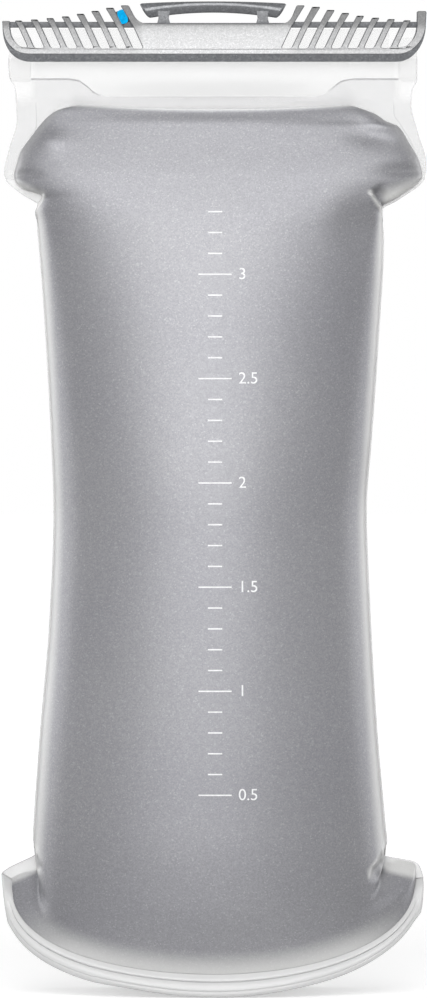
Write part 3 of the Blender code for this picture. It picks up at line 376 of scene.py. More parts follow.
# Springs: joint that presses them, axis, fixed end along it and travel
SPRINGS = {
    "valve_spring": ("valve_press", 1, 28.647 * MM, 2.5 * MM),
    "latch_spring": ("latch_press", 2, 74.0 * MM, 1.4 * MM),
}

# Printed fill scale
SCALE_LOW = 92.0 * MM
SCALE_PITCH = 9.4 * MM
SCALE_COUNT = 29
SCALE_MAJOR_EVERY = 5
SCALE_MAJOR = 15.0 * MM
SCALE_MINOR = 6.5 * MM
SCALE_LINE = 0.65 * MM
SCALE_NUMBER_X = 10.5 * MM
SCALE_NUMBER_SIZE = 7.4 * MM
PRINT_PROUD = 0.06 * MM

# Camera and studio
FRAME_HEIGHT_PX = 1000
VIEW_PIXEL = 0.4545 * MM
VIEW_MIDDLE = Vector((-0.7 * MM, 0.0, 224.0 * MM))
VIEW_DISTANCE = 5.0
VIEW_ELEVATION = math.radians(2.0)
SENSOR = 36.0
FLOOR_LIFT_NEAR = 0.50
FLOOR_LIFT_FAR = 0.85
FLOOR_COLOUR = (0.74, 0.74, 0.74)
FLOOR_SHADED = (0.22, 0.22, 0.22)
MERGE = 0.01 * MM


# Small helpers

def through(stations, place):
    """A smooth value through (place, value) stations, without overshoot."""
    if place <= stations[0][0]:
        return stations[0][1]
    if place >= stations[-1][0]:
        return stations[-1][1]
    i = next(k for k in range(len(stations) - 1) if place <= stations[k + 1][0])
    (p0, v0), (p1, v1) = stations[i], stations[i + 1]
    run = p1 - p0
    m0 = station_slope(stations, i)
    m1 = station_slope(stations, i + 1)
    t = (place - p0) / run
    a = 2 * t**3 - 3 * t**2 + 1
    b = t**3 - 2 * t**2 + t
    return a * v0 + b * run * m0 + (1 - a) * v1 + (t**3 - t**2) * run * m1


def station_slope(stations, i):
    before = slope_between(stations, i - 1) if i > 0 else slope_between(stations, 0)
    after = slope_between(stations, i) if i < len(stations) - 1 else before
    if before * after <= 0:
        return 0.0
    return 2 * before * after / (before + after)


def slope_between(stations, i):
    (p0, v0), (p1, v1) = stations[i], stations[i + 1]
    return (v1 - v0) / (p1 - p0)


def smooth(low, high, value):
    """0 below low, 1 above high, eased between."""
    share = min(1.0, max(0.0, (value - low) / (high - low)))
    return share * share * (3 - 2 * share)


def add_object(name, mesh, material=None):
    obj = bpy.data.objects.new(name, mesh)
    bpy.context.scene.collection.objects.link(obj)
    if material is not None:
        mesh.materials.clear()
        mesh.materials.append(material)
    return obj


def grid_mesh(name, points, flip=False, loop=False):
    """A smooth surface through rows of points; each row runs left to right, rows run upwards."""
    rows = len(points)
    columns = len(points[0])
    verts = [point for row in points for point in row]
    faces = []
    for r in range(rows - 1):
        for c in range(columns if loop else columns - 1):
            d = (c + 1) % columns
            face = (r * columns + c, r * columns + d, (r + 1) * columns + d, (r + 1) * columns + c)
            faces.append(face[::-1] if flip else face)
    mesh = bpy.data.meshes.new(name)
    mesh.from_pydata(verts, [], faces)
    mesh.shade_smooth()
    return mesh


def thicken(obj, thickness, offset=-1.0):
    wall = obj.modifiers.new("Thickness", "SOLIDIFY")
    wall.thickness = thickness
    wall.offset = offset


def soften(obj, width, segments=3, angle=35.0, clamp=True):
    edge = obj.modifiers.new("Rounded edges", "BEVEL")
    edge.width = width
    edge.segments = segments
    edge.limit_method = "ANGLE"
    edge.angle_limit = math.radians(angle)
    edge.harden_normals = False
    edge.use_clamp_overlap = clamp


def settle(obj):
    """Applies every modifier and leaves a plain mesh."""
    depsgraph = bpy.context.evaluated_depsgraph_get()
    mesh = bpy.data.meshes.new_from_object(obj.evaluated_get(depsgraph))
    obj.modifiers.clear()
    obj.data = mesh
    return obj


def close_up(mesh):
    """Merges doubles and turns the faces outwards."""
    bm = bmesh.new()
    bm.from_mesh(mesh)
    bmesh.ops.remove_doubles(bm, verts=bm.verts, dist=MERGE)
    bmesh.ops.recalc_face_normals(bm, faces=bm.faces)
    bm.to_mesh(mesh)
    bm.free()
    return mesh


def round_edges(mesh, angle=35.0):
    mesh.shade_smooth()
    mesh.set_sharp_from_angle(angle=math.radians(angle))
    return mesh


def outline_mesh(name, points, low_y, high_y):
    """A flat outline in X and Z, filled and as thick as the two Y values are apart."""
    curve = bpy.data.curves.new(name, "CURVE")
    curve.dimensions = "2D"
    curve.fill_mode = "BOTH"
    curve.extrude = (high_y - low_y) / 2
    spline = curve.splines.new("POLY")
    spline.points.add(len(points) - 1)
    for point, (x, z) in zip(spline.points, points):
        point.co = (x, z, 0, 1)
    spline.use_cyclic_u = True
    holder = add_object(name, curve)
    depsgraph = bpy.context.evaluated_depsgraph_get()
    mesh = bpy.data.meshes.new_from_object(holder.evaluated_get(depsgraph))
    bpy.data.objects.remove(holder, do_unlink=True)
    mesh.transform(Matrix.Translation((0, (low_y + high_y) / 2, 0)) @ Matrix.Rotation(math.pi / 2, 4, "X"))
    return close_up(mesh)


def box_mesh(name, low, high):
    bm = bmesh.new()
    size = Vector(high) - Vector(low)
    middle = (Vector(high) + Vector(low)) / 2
    bmesh.ops.create_cube(bm, size=1.0, matrix=Matrix.Translation(middle) @ Matrix.Diagonal((*size, 1.0)))
    mesh = bpy.data.meshes.new(name)
    bm.to_mesh(mesh)
    bm.free()
    return mesh


def turned_mesh(name, profile, matrix, steps):
    """A closed profile of (radius, height) points turned about local Z."""
    points = []
    for radius, height in profile + profile[:1]:
        ring = []
        for k in range(steps):
            angle = 2 * math.pi * k / steps
            ring.append(matrix @ Vector((radius * math.cos(angle), radius * math.sin(angle), height)))
        points.append(ring)
    return round_edges(close_up(grid_mesh(name, points, loop=True)), 40.0)


def filleted(corners):
    """Outline points from (x, z, radius) corners, with each corner rounded to its radius."""
    points = []
    count = len(corners)
    for i, (x, z, radius) in enumerate(corners):
        here = Vector((x, z))
        back = Vector(corners[i - 1][:2]) - here
        ahead = Vector(corners[(i + 1) % count][:2]) - here
        turn = back.angle(ahead, math.pi)
        if radius <= 0 or turn > math.radians(175.0):
            points.append((x, z))
            continue
        reach = min(radius / math.tan(turn / 2), 0.48 * back.length, 0.48 * ahead.length)
        start = here + back.normalized() * reach
        end = here + ahead.normalized() * reach
        for k in range(ARC_STEPS + 1):
            t = k / ARC_STEPS
            point = start * (1 - t) ** 2 + here * 2 * t * (1 - t) + end * t**2
            points.append((point.x, point.y))
    return points


def joined(name, objects):
    """One object from several, with all their modifiers applied."""
    for obj in objects:
        settle(obj)
    target = objects[0]
    with bpy.context.temp_override(
        active_object=target, selected_objects=objects, selected_editable_objects=objects
    ):
        bpy.ops.object.join()
    target.name = name
    target.data.name = name
    return target


def mark(mesh, name, levels):
    """Stores a level at each point of a mesh for its finish to read."""
    mesh.attributes.new(name, "FLOAT", "POINT").data.foreach_set("value", levels)


def place_piece(obj, body, slot, *nodes):
    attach(obj, body)
    if nodes:
        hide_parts(*nodes)
    return obj


# Finishes

class Finish:
    """A material with one Principled shader and small helpers for its nodes."""

    def __init__(self, name, colour, roughness):
        self.material = bpy.data.materials.new(name)
        self.material.use_nodes = True
        self.nodes = self.material.node_tree.nodes
        self.links = self.material.node_tree.links
        self.shader = self.nodes["Principled BSDF"]
        self.set("Base Color", (*colour, 1.0))
        self.set("Roughness", roughness)
        self.place = self.nodes.new("ShaderNodeTexCoord").outputs["Object"]

    def set(self, socket, value):
        self.shader.inputs[socket].default_value = value
        return self

    def node(self, kind, **values):
        node = self.nodes.new(kind)
        for key, value in values.items():
            setattr(node, key, value)
        return node

    def noise(self, scale, detail=2.0, roughness=0.5):
        node = self.node("ShaderNodeTexNoise")
        node.inputs["Scale"].default_value = scale
        node.inputs["Detail"].default_value = detail
        node.inputs["Roughness"].default_value = roughness
        self.links.new(self.place, node.inputs["Vector"])
        return node.outputs["Fac"]

    def grains(self, scale):
        """A random level for each small cell."""
        node = self.node("ShaderNodeTexVoronoi")
        node.inputs["Scale"].default_value = scale
        self.links.new(self.place, node.inputs["Vector"])
        split = self.node("ShaderNodeSeparateColor")
        self.links.new(node.outputs["Color"], split.inputs["Color"])
        return split.outputs["Red"]

    def ramp(self, level, stops):
        node = self.node("ShaderNodeValToRGB")
        ramp = node.color_ramp
        while len(ramp.elements) < len(stops):
            ramp.elements.new(0.5)
        for element, (position, colour) in zip(ramp.elements, stops):
            element.position = position
            element.color = (*colour, 1.0)
        self.links.new(level, node.inputs["Fac"])
        return node.outputs["Color"]

    def spread(self, level, low, high, start=0.0, end=1.0):
        node = self.node("ShaderNodeMapRange")
        node.inputs["From Min"].default_value = start
        node.inputs["From Max"].default_value = end
        node.inputs["To Min"].default_value = low
        node.inputs["To Max"].default_value = high
        self.links.new(level, node.inputs["Value"])
        return node.outputs["Result"]

    def mix(self, share, first, second, blend="MIX"):
        node = self.node("ShaderNodeMix", data_type="RGBA", blend_type=blend)
        if isinstance(share, float):
            node.inputs[0].default_value = share
        else:
            self.links.new(share, node.inputs[0])
        for index, colour in ((6, first), (7, second)):
            if isinstance(colour, tuple):
                node.inputs[index].default_value = (*colour, 1.0)
            else:
                self.links.new(colour, node.inputs[index])
        return node.outputs[2]

    def axis(self, name):
        split = self.node("ShaderNodeSeparateXYZ")
        self.links.new(self.place, split.inputs["Vector"])
        return split.outputs[name]

    def attribute(self, name):
        return self.node("ShaderNodeAttribute", attribute_name=name).outputs["Fac"]

    def drive(self, socket, level):
        self.links.new(level, self.shader.inputs[socket])
        return self

    def bump(self, level, distance, strength=1.0):
        node = self.node("ShaderNodeBump")
        node.inputs["Distance"].default_value = distance
        node.inputs["Strength"].default_value = strength
        self.links.new(level, node.inputs["Height"])
        self.links.new(node.outputs["Normal"], self.shader.inputs["Normal"])
        return self


def padded_skin():
    """Satin grey film over foam, with a fine metallic grain, paler welded edges, painted highlights at the limbs and
    ears, and painted light and shade by height.
    """
    finish = Finish("padded skin", (0.42, 0.42, 0.44), 0.4)
    grain = finish.ramp(
        finish.grains(1900.0),
        [(0.0, (0.28, 0.28, 0.30)), (0.5, (0.315, 0.315, 0.335)), (0.94, (0.345, 0.345, 0.365)), (1.0, (0.41, 0.41, 0.43))],
    )
    cloud = finish.ramp(finish.noise(14.0, 3.0), [(0.3, (0.96, 0.96, 0.97)), (0.7, (1.03, 1.03, 1.02))])
    height = finish.spread(finish.axis("Z"), 0.0, 1.0, 0.0, PANEL_TOP)
    # Painted light and shade: the wall colour darkens towards the base and brightens above the waist
    fall = finish.ramp(height, [(place, (level,) * 3) for place, level in WALL_PAINTED_SHADING])
    shaded = finish.mix(1.0, finish.mix(1.0, grain, cloud, "MULTIPLY"), fall, "MULTIPLY")
    # The weld attribute carries the pale welds together with painted highlights and painted floor bounce, turning the
    # colour pale and non-metallic
    weld = finish.attribute("weld")
    finish.drive("Base Color", finish.mix(weld, shaded, (0.80, 0.80, 0.78)))
    finish.drive("Roughness", finish.spread(finish.noise(900.0, 1.0), 0.33, 0.47))
    finish.drive("Metallic", finish.spread(weld, 0.35, 0.0))
    finish.bump(finish.noise(1500.0, 2.0), 0.03 * MM, 0.5)
    return finish.material


def clear_film(name, colour, alpha, low=0.10, high=0.22, edge_alpha=None):
    """Clear polyurethane film with a faint cloudiness and, where asked for, greyer edges."""
    finish = Finish(name, colour, 0.15)
    pale = tuple(min(1.0, 1.05 * level) for level in colour)
    cloud = finish.ramp(finish.noise(35.0, 3.0), [(0.3, colour), (0.7, pale)])
    if edge_alpha is None:
        finish.drive("Base Color", cloud)
        finish.set("Alpha", alpha)
    else:
        edge = finish.attribute("edge")
        finish.drive("Base Color", finish.mix(edge, cloud, EDGE_GREY))
        finish.drive("Alpha", finish.spread(edge, alpha, edge_alpha))
    finish.drive("Roughness", finish.spread(finish.noise(220.0, 2.0), low, high))
    finish.bump(finish.noise(120.0, 2.0), 0.05 * MM, 0.4)
    return finish.material


def moulded(name, dark, light, roughness, grain=1500.0, coat=0.0, metallic=0.0, shine=0.5):
    """Moulded plastic with a fine speckle and a slightly uneven gloss."""
    finish = Finish(name, light, roughness)
    finish.set("Specular IOR Level", shine)
    finish.drive("Base Color", finish.ramp(finish.grains(grain), [(0.0, dark), (0.85, light), (1.0, tuple(min(1.0, 1.25 * c) for c in light))]))
    finish.drive("Roughness", finish.spread(finish.noise(400.0, 2.0), 0.8 * roughness, 1.2 * roughness))
    finish.set("Metallic", metallic)
    finish.set("Coat Weight", coat)
    finish.set("Coat Roughness", 0.22)
    finish.bump(finish.noise(1300.0, 2.0), 0.03 * MM, 0.6)
    return finish.material


def closure_silver():
    """Bright flake on the closure's faces, with painted shade that darkens it towards the rib tops."""
    finish = Finish("closure silver", (0.7, 0.7, 0.71), 0.42)
    grain = finish.ramp(
        finish.grains(2300.0),
        [(0.0, (0.60, 0.603, 0.61)), (0.5, (0.69, 0.693, 0.70)), (0.85, (0.75, 0.752, 0.76)), (1.0, (0.86, 0.86, 0.865))],
    )
    height = finish.spread(finish.axis("Z"), 0.0, 1.0, FACE_Z, RIB_TOPS[0][1])
    plate = finish.ramp(height, [(place, (level,) * 3) for place, level in PLATE_PAINTED_SHADE])
    ribs = finish.ramp(height, [(place, (level,) * 3) for place, level in RIB_PAINTED_SHADE])
    side = finish.node("ShaderNodeMath", operation="ABSOLUTE")
    finish.links.new(finish.axis("X"), side.inputs[0])
    outward = finish.spread(side.outputs[0], 0.0, 1.0, 0.0325, 0.0365)
    finish.drive("Base Color", finish.mix(1.0, grain, finish.mix(outward, plate, ribs), "MULTIPLY"))
    finish.drive("Roughness", finish.spread(finish.noise(600.0, 2.0), 0.34, 0.52))
    finish.set("Metallic", 0.15)
    finish.bump(finish.noise(1400.0, 2.0), 0.05 * MM, 0.8)
    return finish.material


def print_white():
    finish = Finish("white print", (0.86, 0.86, 0.87), 0.5)
    finish.drive("Base Color", finish.ramp(finish.noise(700.0, 2.0), [(0.35, (0.80, 0.80, 0.81)), (0.6, (0.90, 0.90, 0.91))]))
    finish.drive("Roughness", finish.spread(finish.noise(300.0, 2.0), 0.42, 0.58))
    return finish.material


def make_finishes():
    return {
        "skin": padded_skin(),
        "film": clear_film("clear film", (0.80, 0.80, 0.80), 0.55, edge_alpha=0.85),
        "rim": clear_film("rim film", (0.75, 0.75, 0.75), 0.86, 0.10, 0.24, 0.95),
        "gusset": clear_film("gusset film", (0.66, 0.66, 0.66), 0.88, 0.15, 0.30),
        "collar": clear_film("collar film", (0.80, 0.80, 0.80), 0.02, 0.10, 0.24, 0.50),
        "tab": clear_film("frosted tab", (0.88, 0.875, 0.86), 0.02, 0.35, 0.50),
        # Greyer copy of the tab film, painted shade for the tab's sides
        "tab painted shade": clear_film("tab painted shade", (0.50, 0.50, 0.50), 0.25, 0.30, 0.45),
        "rail": clear_film("clear rail", (0.92, 0.92, 0.92), 0.02, 0.15, 0.30),
        "silver": closure_silver(),
        # A darker copy of the closure grey: painted shade for its edges, lip, spine blocks and seat
        "edge": moulded("closure painted shade", (0.09, 0.094, 0.102), (0.14, 0.145, 0.155), 0.42),
        "post": moulded("post grey", (0.175, 0.179, 0.19), (0.235, 0.24, 0.25), 0.42),
        "handle": moulded("handle grey", (0.14, 0.145, 0.155), (0.185, 0.19, 0.20), 0.32, 1500.0, 0.8, 0.3),
        "blue": moulded("button blue", (0.0, 0.34, 0.68), (0.0, 0.39, 0.76), 0.55, 900.0, shine=0.05),
        "port": moulded("port grey", (0.15, 0.155, 0.165), (0.21, 0.215, 0.225), 0.40),
        "valve": moulded("valve white", (0.80, 0.80, 0.80), (0.86, 0.86, 0.86), 0.38),
        "seal": moulded("seal rubber", (0.02, 0.02, 0.02), (0.035, 0.035, 0.035), 0.65),
        "steel": moulded("spring steel", (0.55, 0.55, 0.57), (0.62, 0.62, 0.64), 0.28, 2500.0, 0.0, 1.0),
        "print": print_white(),
    }


# Padded walls

def seam_half(right, seam_z):
    return through(RIGHT_SEAM if right else LEFT_SEAM, seam_z)


def body_half(right, seam_z):
    return through(RIGHT_BODY if right else LEFT_BODY, seam_z)


def dent_depth(x, z):
    """How far soft dents push the wall in at a place on it."""
    depth = 0.0
    for cx, cz, rx, rz, turn, deep in DENTS:
        dx = x / MM - cx
        dz = z / MM - cz
        angle = math.radians(turn)
        along = (dx * math.cos(angle) + dz * math.sin(angle)) / rx
        over = (dz * math.cos(angle) - dx * math.sin(angle)) / rz
        depth += deep * MM * math.exp(-along * along - over * over)
    return depth


def pinch_depth(x, z):
    """How far the folded pockets at the ears' roots push the wall in."""
    depth = 0.0
    for ax, az, bx, bz, side, deep in PINCHES:
        run = Vector((bx - ax, bz - az)) * MM
        here = Vector((x - ax * MM, z - az * MM))
        if here.length > 3 * PINCH_REACH:
            continue
        along = here.dot(run) / run.length_squared
        across = side * (here.x * run.y - here.y * run.x) / run.length
        fade = 1 - smooth(*PINCH_FADE, along)
        pocket = smooth(0.0, PINCH_LIP, across) * (1 - smooth(PINCH_FLOOR, PINCH_REACH, across))
        roll = PINCH_ROLL * math.exp(-((across / PINCH_LIP) ** 2)) if across < 0 else 0.0
        depth += fade * (deep * MM * pocket - roll)
    return depth


def wall_point(across, seam_z):
    """A point on the outer face of the front wall; across runs from -1 to 1."""
    right = across > 0
    sine = abs(math.sin(across * math.pi / 2))
    cosine = max(0.0, math.cos(across * math.pi / 2))
    body = body_half(right, seam_z)
    notch = body - seam_half(right, seam_z)
    x = body * sine - notch * sine**NOTCH_POWER
    x = x if right else -x
    low_share = (PANEL_TOP - seam_z) / (PANEL_TOP - SEAM_LOW)
    top_share = smooth(PANEL_TOP - TOP_BLEND, PANEL_TOP, seam_z)
    scoop = SCOOP * cosine ** (SCOOP_ROUND_RIGHT if right else SCOOP_ROUND_LEFT)
    z = seam_z - scoop * low_share**SCOOP_POWER
    z -= top_share * (TOP_DIP * cosine * cosine + TOP_CORNER * sine**TOP_CORNER_POWER)
    depth = through(DEPTH, seam_z) * cosine ** through(FULLNESS, seam_z)
    pushed = dent_depth(x, z) + pinch_depth(x, z)
    depth -= max(-DENT_LIMIT * depth, min(DENT_LIMIT * depth, pushed))
    return Vector((x, -SEAM_HALF_GAP - depth, z))


def row_heights():
    heights = [WALL_SPANS[0][0] * MM]
    for low, high, count in WALL_SPANS:
        heights += [(low + (high - low) * (i + 1) / count) * MM for i in range(count)]
    return heights


def ear_weld_and_highlight(point):
    """1 on the pale bands of an ear, its welded edges and painted highlights, 0 away from it."""
    share = 0.0
    for ax, az, bx, bz, width, faded, first, strength in EAR_WELDS_AND_HIGHLIGHTS:
        run = Vector((bx - ax, bz - az)) * MM
        here = Vector((point.x - ax * MM, point.z - az * MM))
        along = here.dot(run) / run.length_squared
        away = abs(here.x * run.y - here.y * run.x) / run.length
        ends = smooth(first - 0.15, first + 0.05, along) * (1 - smooth(1.0, 1.15, along))
        share = max(share, strength * ends * (1 - smooth(width * MM, faded * MM, away)))
    return share


def weld_and_highlight_share(across, seam_z, point):
    """1 where the foam has run out towards a weld, 0 on the padded wall; it also carries painted highlights at the
    limbs and ears and painted floor bounce above the base weld.
    """
    sine = abs(math.sin(across * math.pi / 2))
    cosine = max(0.0, math.cos(across * math.pi / 2))
    limb = smooth(58.0 * MM, 70.0 * MM, seam_z) * (1 - 0.6 * smooth(352.0 * MM, 366.0 * MM, seam_z))
    # Partly the clear film edge, partly a painted highlight: a pale strip along the limbs
    side = 0.55 * limb * smooth(0.93, 1.0, sine)
    # Partly real, partly painted: the foam runs out at the base weld, and the pale band above it is also painted floor
    # bounce
    base = 0.6 * (1 - smooth(SEAM_LOW, SEAM_LOW + BASE_FADE, seam_z)) * smooth(0.22, 0.8, cosine)
    ear = smooth(356.0 * MM, 359.0 * MM, seam_z) * (1 - smooth(366.0 * MM, 372.0 * MM, seam_z))
    # Partly the welded edge, partly a painted highlight on the lower lip of the upper ears
    lip = 0.85 * ear * smooth(0.965, 0.99, sine)
    top = 0.5 * smooth(PANEL_TOP - TOP_PALE, PANEL_TOP, seam_z)
    return max(ear_weld_and_highlight(point), side, base, top, lip)


def make_walls(finishes):
    heights = row_heights()
    columns = [2 * c / WALL_COLUMNS - 1 for c in range(WALL_COLUMNS + 1)]
    front = [[wall_point(across, z) for across in columns] for z in heights]
    welds = []
    for z, row in zip(heights, front):
        welds += [weld_and_highlight_share(across, z, point) for across, point in zip(columns, row)]
    back = [[port_seat(Vector((p.x, -p.y, p.z))) for p in row] for row in front]
    walls = []
    for side, points in (("front", front), ("back", back)):
        mesh = grid_mesh(f"{side}_wall", points, side == "back")
        mark(mesh, "weld", welds)
        obj = add_object(f"{side}_wall", mesh, finishes["skin"])
        thicken(obj, WALL_THICKNESS)
        settle(obj)
        round_edges(obj.data, 60.0)
        place_piece(obj, "reservoir", "skin", f"{side}_skin", f"{side}_foam", f"{side}_liner")
        walls.append(obj)
    return walls


def port_seat(point):
    """Flattens the back wall under the port's flange."""
    distance = math.hypot(point.x, point.z - PORT_Z)
    flat = 1 - smooth(PORT_SEAT_R, PORT_SEAT_BLEND, distance)
    point.y += (PORT_SEAT_Y - point.y) * flat
    return point


# Clear welds round the walls

def flange_point(right, seam_z, share):
    """A point on a side flange, from the seam (0) to its free edge (1)."""
    sign = 1 if right else -1
    stations = RIGHT_EDGE if right else LEFT_EDGE
    edge_x = through(mm([(seam, x) for seam, x, _ in stations]), seam_z)
    edge_z = through(mm([(seam, z) for seam, _, z in stations]), seam_z)
    fold = through(RIGHT_FOLD if right else LEFT_FOLD, seam_z)
    x = seam_half(right, seam_z) - 0.4 * MM * (1 - fold)
    plain = Vector((x, 0, seam_z)).lerp(Vector((edge_x, 0, edge_z)), share)
    back = Vector((x + 0.35 * MM - 0.9 * MM * share * share, FLANGE_FOLDED * share, seam_z))
    point = plain.lerp(back, fold)
    return Vector((sign * point.x, point.y, point.z))


def make_flanges(finishes):
    heights = FLANGE_TUCK + [z for z in row_heights() if z <= FLANGE_TOP]
    for name, right in (("left", False), ("right", True)):
        points = []
        for z in heights:
            row = [flange_point(right, z, share) for share in FLANGE_SHARES]
            points.append(row if right else row[::-1])
        mesh = grid_mesh(f"{name}_flange", points)
        edges = FLANGE_EDGES if right else FLANGE_EDGES[::-1]
        mark(mesh, "edge", edges * len(heights))
        obj = add_object(f"{name}_flange", mesh, finishes["film"])
        thicken(obj, FLANGE_THICKNESS, 0.0)
        settle(obj)
        round_edges(obj.data, 60.0)
        place_piece(obj, "reservoir", "film", f"{name}_side_weld")


def rim_base(across):
    """Weld line and free edge of the front rim at a place across it."""
    right = across > 0
    sine = math.sin(across * math.pi / 2)
    cosine = max(0.0, math.cos(across * math.pi / 2))
    outer_x = sine * (RIM_RIGHT if right else RIM_LEFT)
    weld = wall_point(across, SEAM_LOW)
    full = RIM_FULL_RIGHT if right else RIM_FULL_LEFT
    full += (1 - full) * smooth(0.80, 1.0, cosine)
    full -= (RIM_TIP_RIGHT if right else RIM_TIP_LEFT) * (1 - smooth(0.0, 0.35, cosine))
    edge = Vector((outer_x, weld.y - RIM_SPLAY * cosine, RIM_EAR_Z * (1 - cosine**full)))
    end_x, end_z = RIM_END_RIGHT if right else RIM_END_LEFT
    end = Vector((end_x if right else -end_x, edge.y, end_z))
    return weld, edge.lerp(end, 1 - smooth(0.0, RIM_END_BLEND, cosine))


def rim_row(share, lift):
    """Points along the front rim at a share of its width, lifted off it by a height."""
    points = []
    for c in range(RIM_COLUMNS + 1):
        across = 2 * c / RIM_COLUMNS - 1
        weld, edge = rim_base(across)
        sine = math.sin(across * math.pi / 2)
        cosine = math.sqrt(max(0.0, 1 - sine * sine))
        out = Vector((0.35 * sine, -1.0, -0.15)).normalized()
        fade = RIM_END_LIFT + (1 - RIM_END_LIFT) * smooth(0.0, 0.35, cosine)
        points.append(weld.lerp(edge, share) + out * lift * fade)
    return points


def mirrored(points):
    return [[Vector((p.x, -p.y, p.z)) for p in row] for row in points]


def make_rims(finishes):
    front = [rim_row(place / RIM_WIDTH, lift) for place, lift in reversed(RIM_RELIEF)]
    # Painted shade: the rim film darkens along its weld line, groove and edge
    lines = []
    for place, _ in reversed(RIM_RELIEF):
        level = max(deep * (1 - smooth(0.0, RIM_LINE, abs(place - line))) for line, deep in RIM_GROOVE_SHADES)
        lines += [level] * (RIM_COLUMNS + 1)
    for side, points in (("front", front), ("back", mirrored(front))):
        mesh = grid_mesh(f"{side}_rim", points, side == "back")
        mark(mesh, "edge", lines)
        obj = add_object(f"{side}_rim", mesh, finishes["rim"])
        thicken(obj, RIM_THICKNESS)
        settle(obj)
        round_edges(obj.data, 80.0)
        place_piece(obj, "reservoir", "film", f"{side}_base_weld")


def make_gusset(finishes):
    """The base film: front flange, sagging span and back flange in one sheet."""
    flange = []
    for r in range(GUSSET_FLANGE_ROWS):
        share = 1 - r / GUSSET_FLANGE_ROWS
        flange.append(rim_row(share, -GUSSET_BACKSET))
    weld = rim_row(0.0, -GUSSET_BACKSET)
    span = []
    for r in range(GUSSET_ROWS + 1):
        forward = 1 - 2 * r / GUSSET_ROWS
        row = []
        for c, start in enumerate(weld):
            cosine = math.cos((2 * c / RIM_COLUMNS - 1) * math.pi / 2)
            sag = GUSSET_SAG * cosine * (1 - forward**GUSSET_FLATNESS)
            row.append(Vector((start.x, start.y * forward, max(GUSSET_FLOOR, start.z - sag))))
        span.append(row)
    points = flange + span + mirrored(flange)[::-1]
    obj = add_object("gusset_film", grid_mesh("gusset_film", points, True), finishes["gusset"])
    thicken(obj, GUSSET_THICKNESS)
    settle(obj)
    place_piece(obj, "reservoir", "gusset", "base_gusset")


# Collar, weld strip, tabs and rails

def collar_y(x, z):
    """How far the front collar film stands out from the middle plane."""
    half = through(RIGHT_SEAM if x > 0 else LEFT_SEAM, PANEL_TOP)
    inside = max(0.0, 1 - (x / half) ** 2)
    crown = DEPTH[-1][1] * inside ** (FULLNESS[-1][1] / 2)
    if z >= PANEL_TOP:
        crown *= 1 - smooth(0.0, COLLAR_CLOSE, z - PANEL_TOP)
    else:
        crown *= 1 - smooth(0.0, COLLAR_FADE, PANEL_TOP - z)
    return COLLAR_Y + max(0.0, crown - COLLAR_TUCK)


def collar_x(across, z):
    """X on the collar, and its distances from the weld line and the outer edge, where the columns gather."""
    right = across > 0
    half = through(COLLAR_RIGHT if right else COLLAR_LEFT, z)
    line = through(WELD_RIGHT if right else WELD_LEFT, z)
    share = abs(across)
    if share < WELD_SHARE:
        x = line * (1 - (1 - share / WELD_SHARE) ** 2)
    else:
        x = line + (half - line) * smooth(WELD_SHARE, 1.0, share)
    return (x if right else -x), abs(x - line), half - x


def collar_z(row, low):
    """Height of a row of the collar; the rows gather at the lower edge of the weld strip."""
    if row <= COLLAR_ROWS:
        return COLLAR_LOW + (low - COLLAR_LOW) * (1 - (1 - row / COLLAR_ROWS) ** 2)
    return low + (MOUTH_TOP - low) * ((row - COLLAR_ROWS) / STRIP_ROWS) ** 2


def collar_grey(x, z, low, from_line, from_edge):
    """How grey the film looks: least in the mouth, more in the fold as painted shade, less beside the strip's outer
    ends as a painted highlight, and most along its lines.
    """
    strip = 1 - smooth(STRIP_TOP, STRIP_TOP + 1.0 * MM, z)
    # Painted highlight: the film beside the strip's outer ends is made less grey
    outer = smooth(STRIP_END - 3.0 * MM, STRIP_END + 3.0 * MM, abs(x)) * smooth(402.0 * MM, 410.0 * MM, z)
    plain = (0.40 if z < low else 0.22 * strip) * (1 - 0.65 * outer)
    # Painted shade: a grey band where the film folds over the wall top
    fold = 0.06 * (1 - smooth(*FOLD_SHADE_Z, z)) * (1 - smooth(66.0 * MM, 78.0 * MM, abs(x)))
    edge = 0.6 * strip * (1 - smooth(*COLLAR_EDGE, from_edge))
    welded = smooth(378.0 * MM, 386.0 * MM, z) * (1 - smooth(402.0 * MM, 409.0 * MM, z))
    line = 0.55 * welded * (1 - smooth(*COLLAR_EDGE, from_line))
    swept = smooth(48.0 * MM, 56.0 * MM, abs(x)) * (1 - smooth(STRIP_END, STRIP_END + 0.5 * MM, abs(x)))
    lower = 0.8 * swept * (1 - smooth(*COLLAR_EDGE, abs(z - low)))
    return max(plain + fold, edge, line, lower)


def make_collars(finishes):
    """Front and back collar films, each with the raised strip that carries its rail."""
    points = []
    greys = []
    for r in range(COLLAR_ROWS + STRIP_ROWS + 1):
        row = []
        for c in range(COLLAR_COLUMNS + 1):
            across = 2 * c / COLLAR_COLUMNS - 1
            low = through(STRIP_EDGE, abs(collar_x(across, STRIP_EDGE[-1][1])[0] + 2.0 * MM))
            z = collar_z(r, low)
            x, from_line, from_edge = collar_x(across, z)
            raised = smooth(0.0, 0.3 * MM, z - low) * (1 - smooth(STRIP_TOP, STRIP_TOP + 1.0 * MM, z))
            row.append(Vector((x, -collar_y(x, z) - STRIP_PROUD * raised, z)))
            greys.append(collar_grey(x, z, low, from_line, from_edge))
        points.append(row)
    for side, grid in (("front", points), ("back", mirrored(points))):
        mesh = grid_mesh(f"{side}_collar", grid, side == "back")
        mark(mesh, "edge", greys)
        obj = add_object(f"{side}_collar_film", mesh, finishes["collar"])
        thicken(obj, FILM_THICKNESS)
        settle(obj)
        round_edges(obj.data, 60.0)
        place_piece(obj, "reservoir", "film", f"{side}_collar")


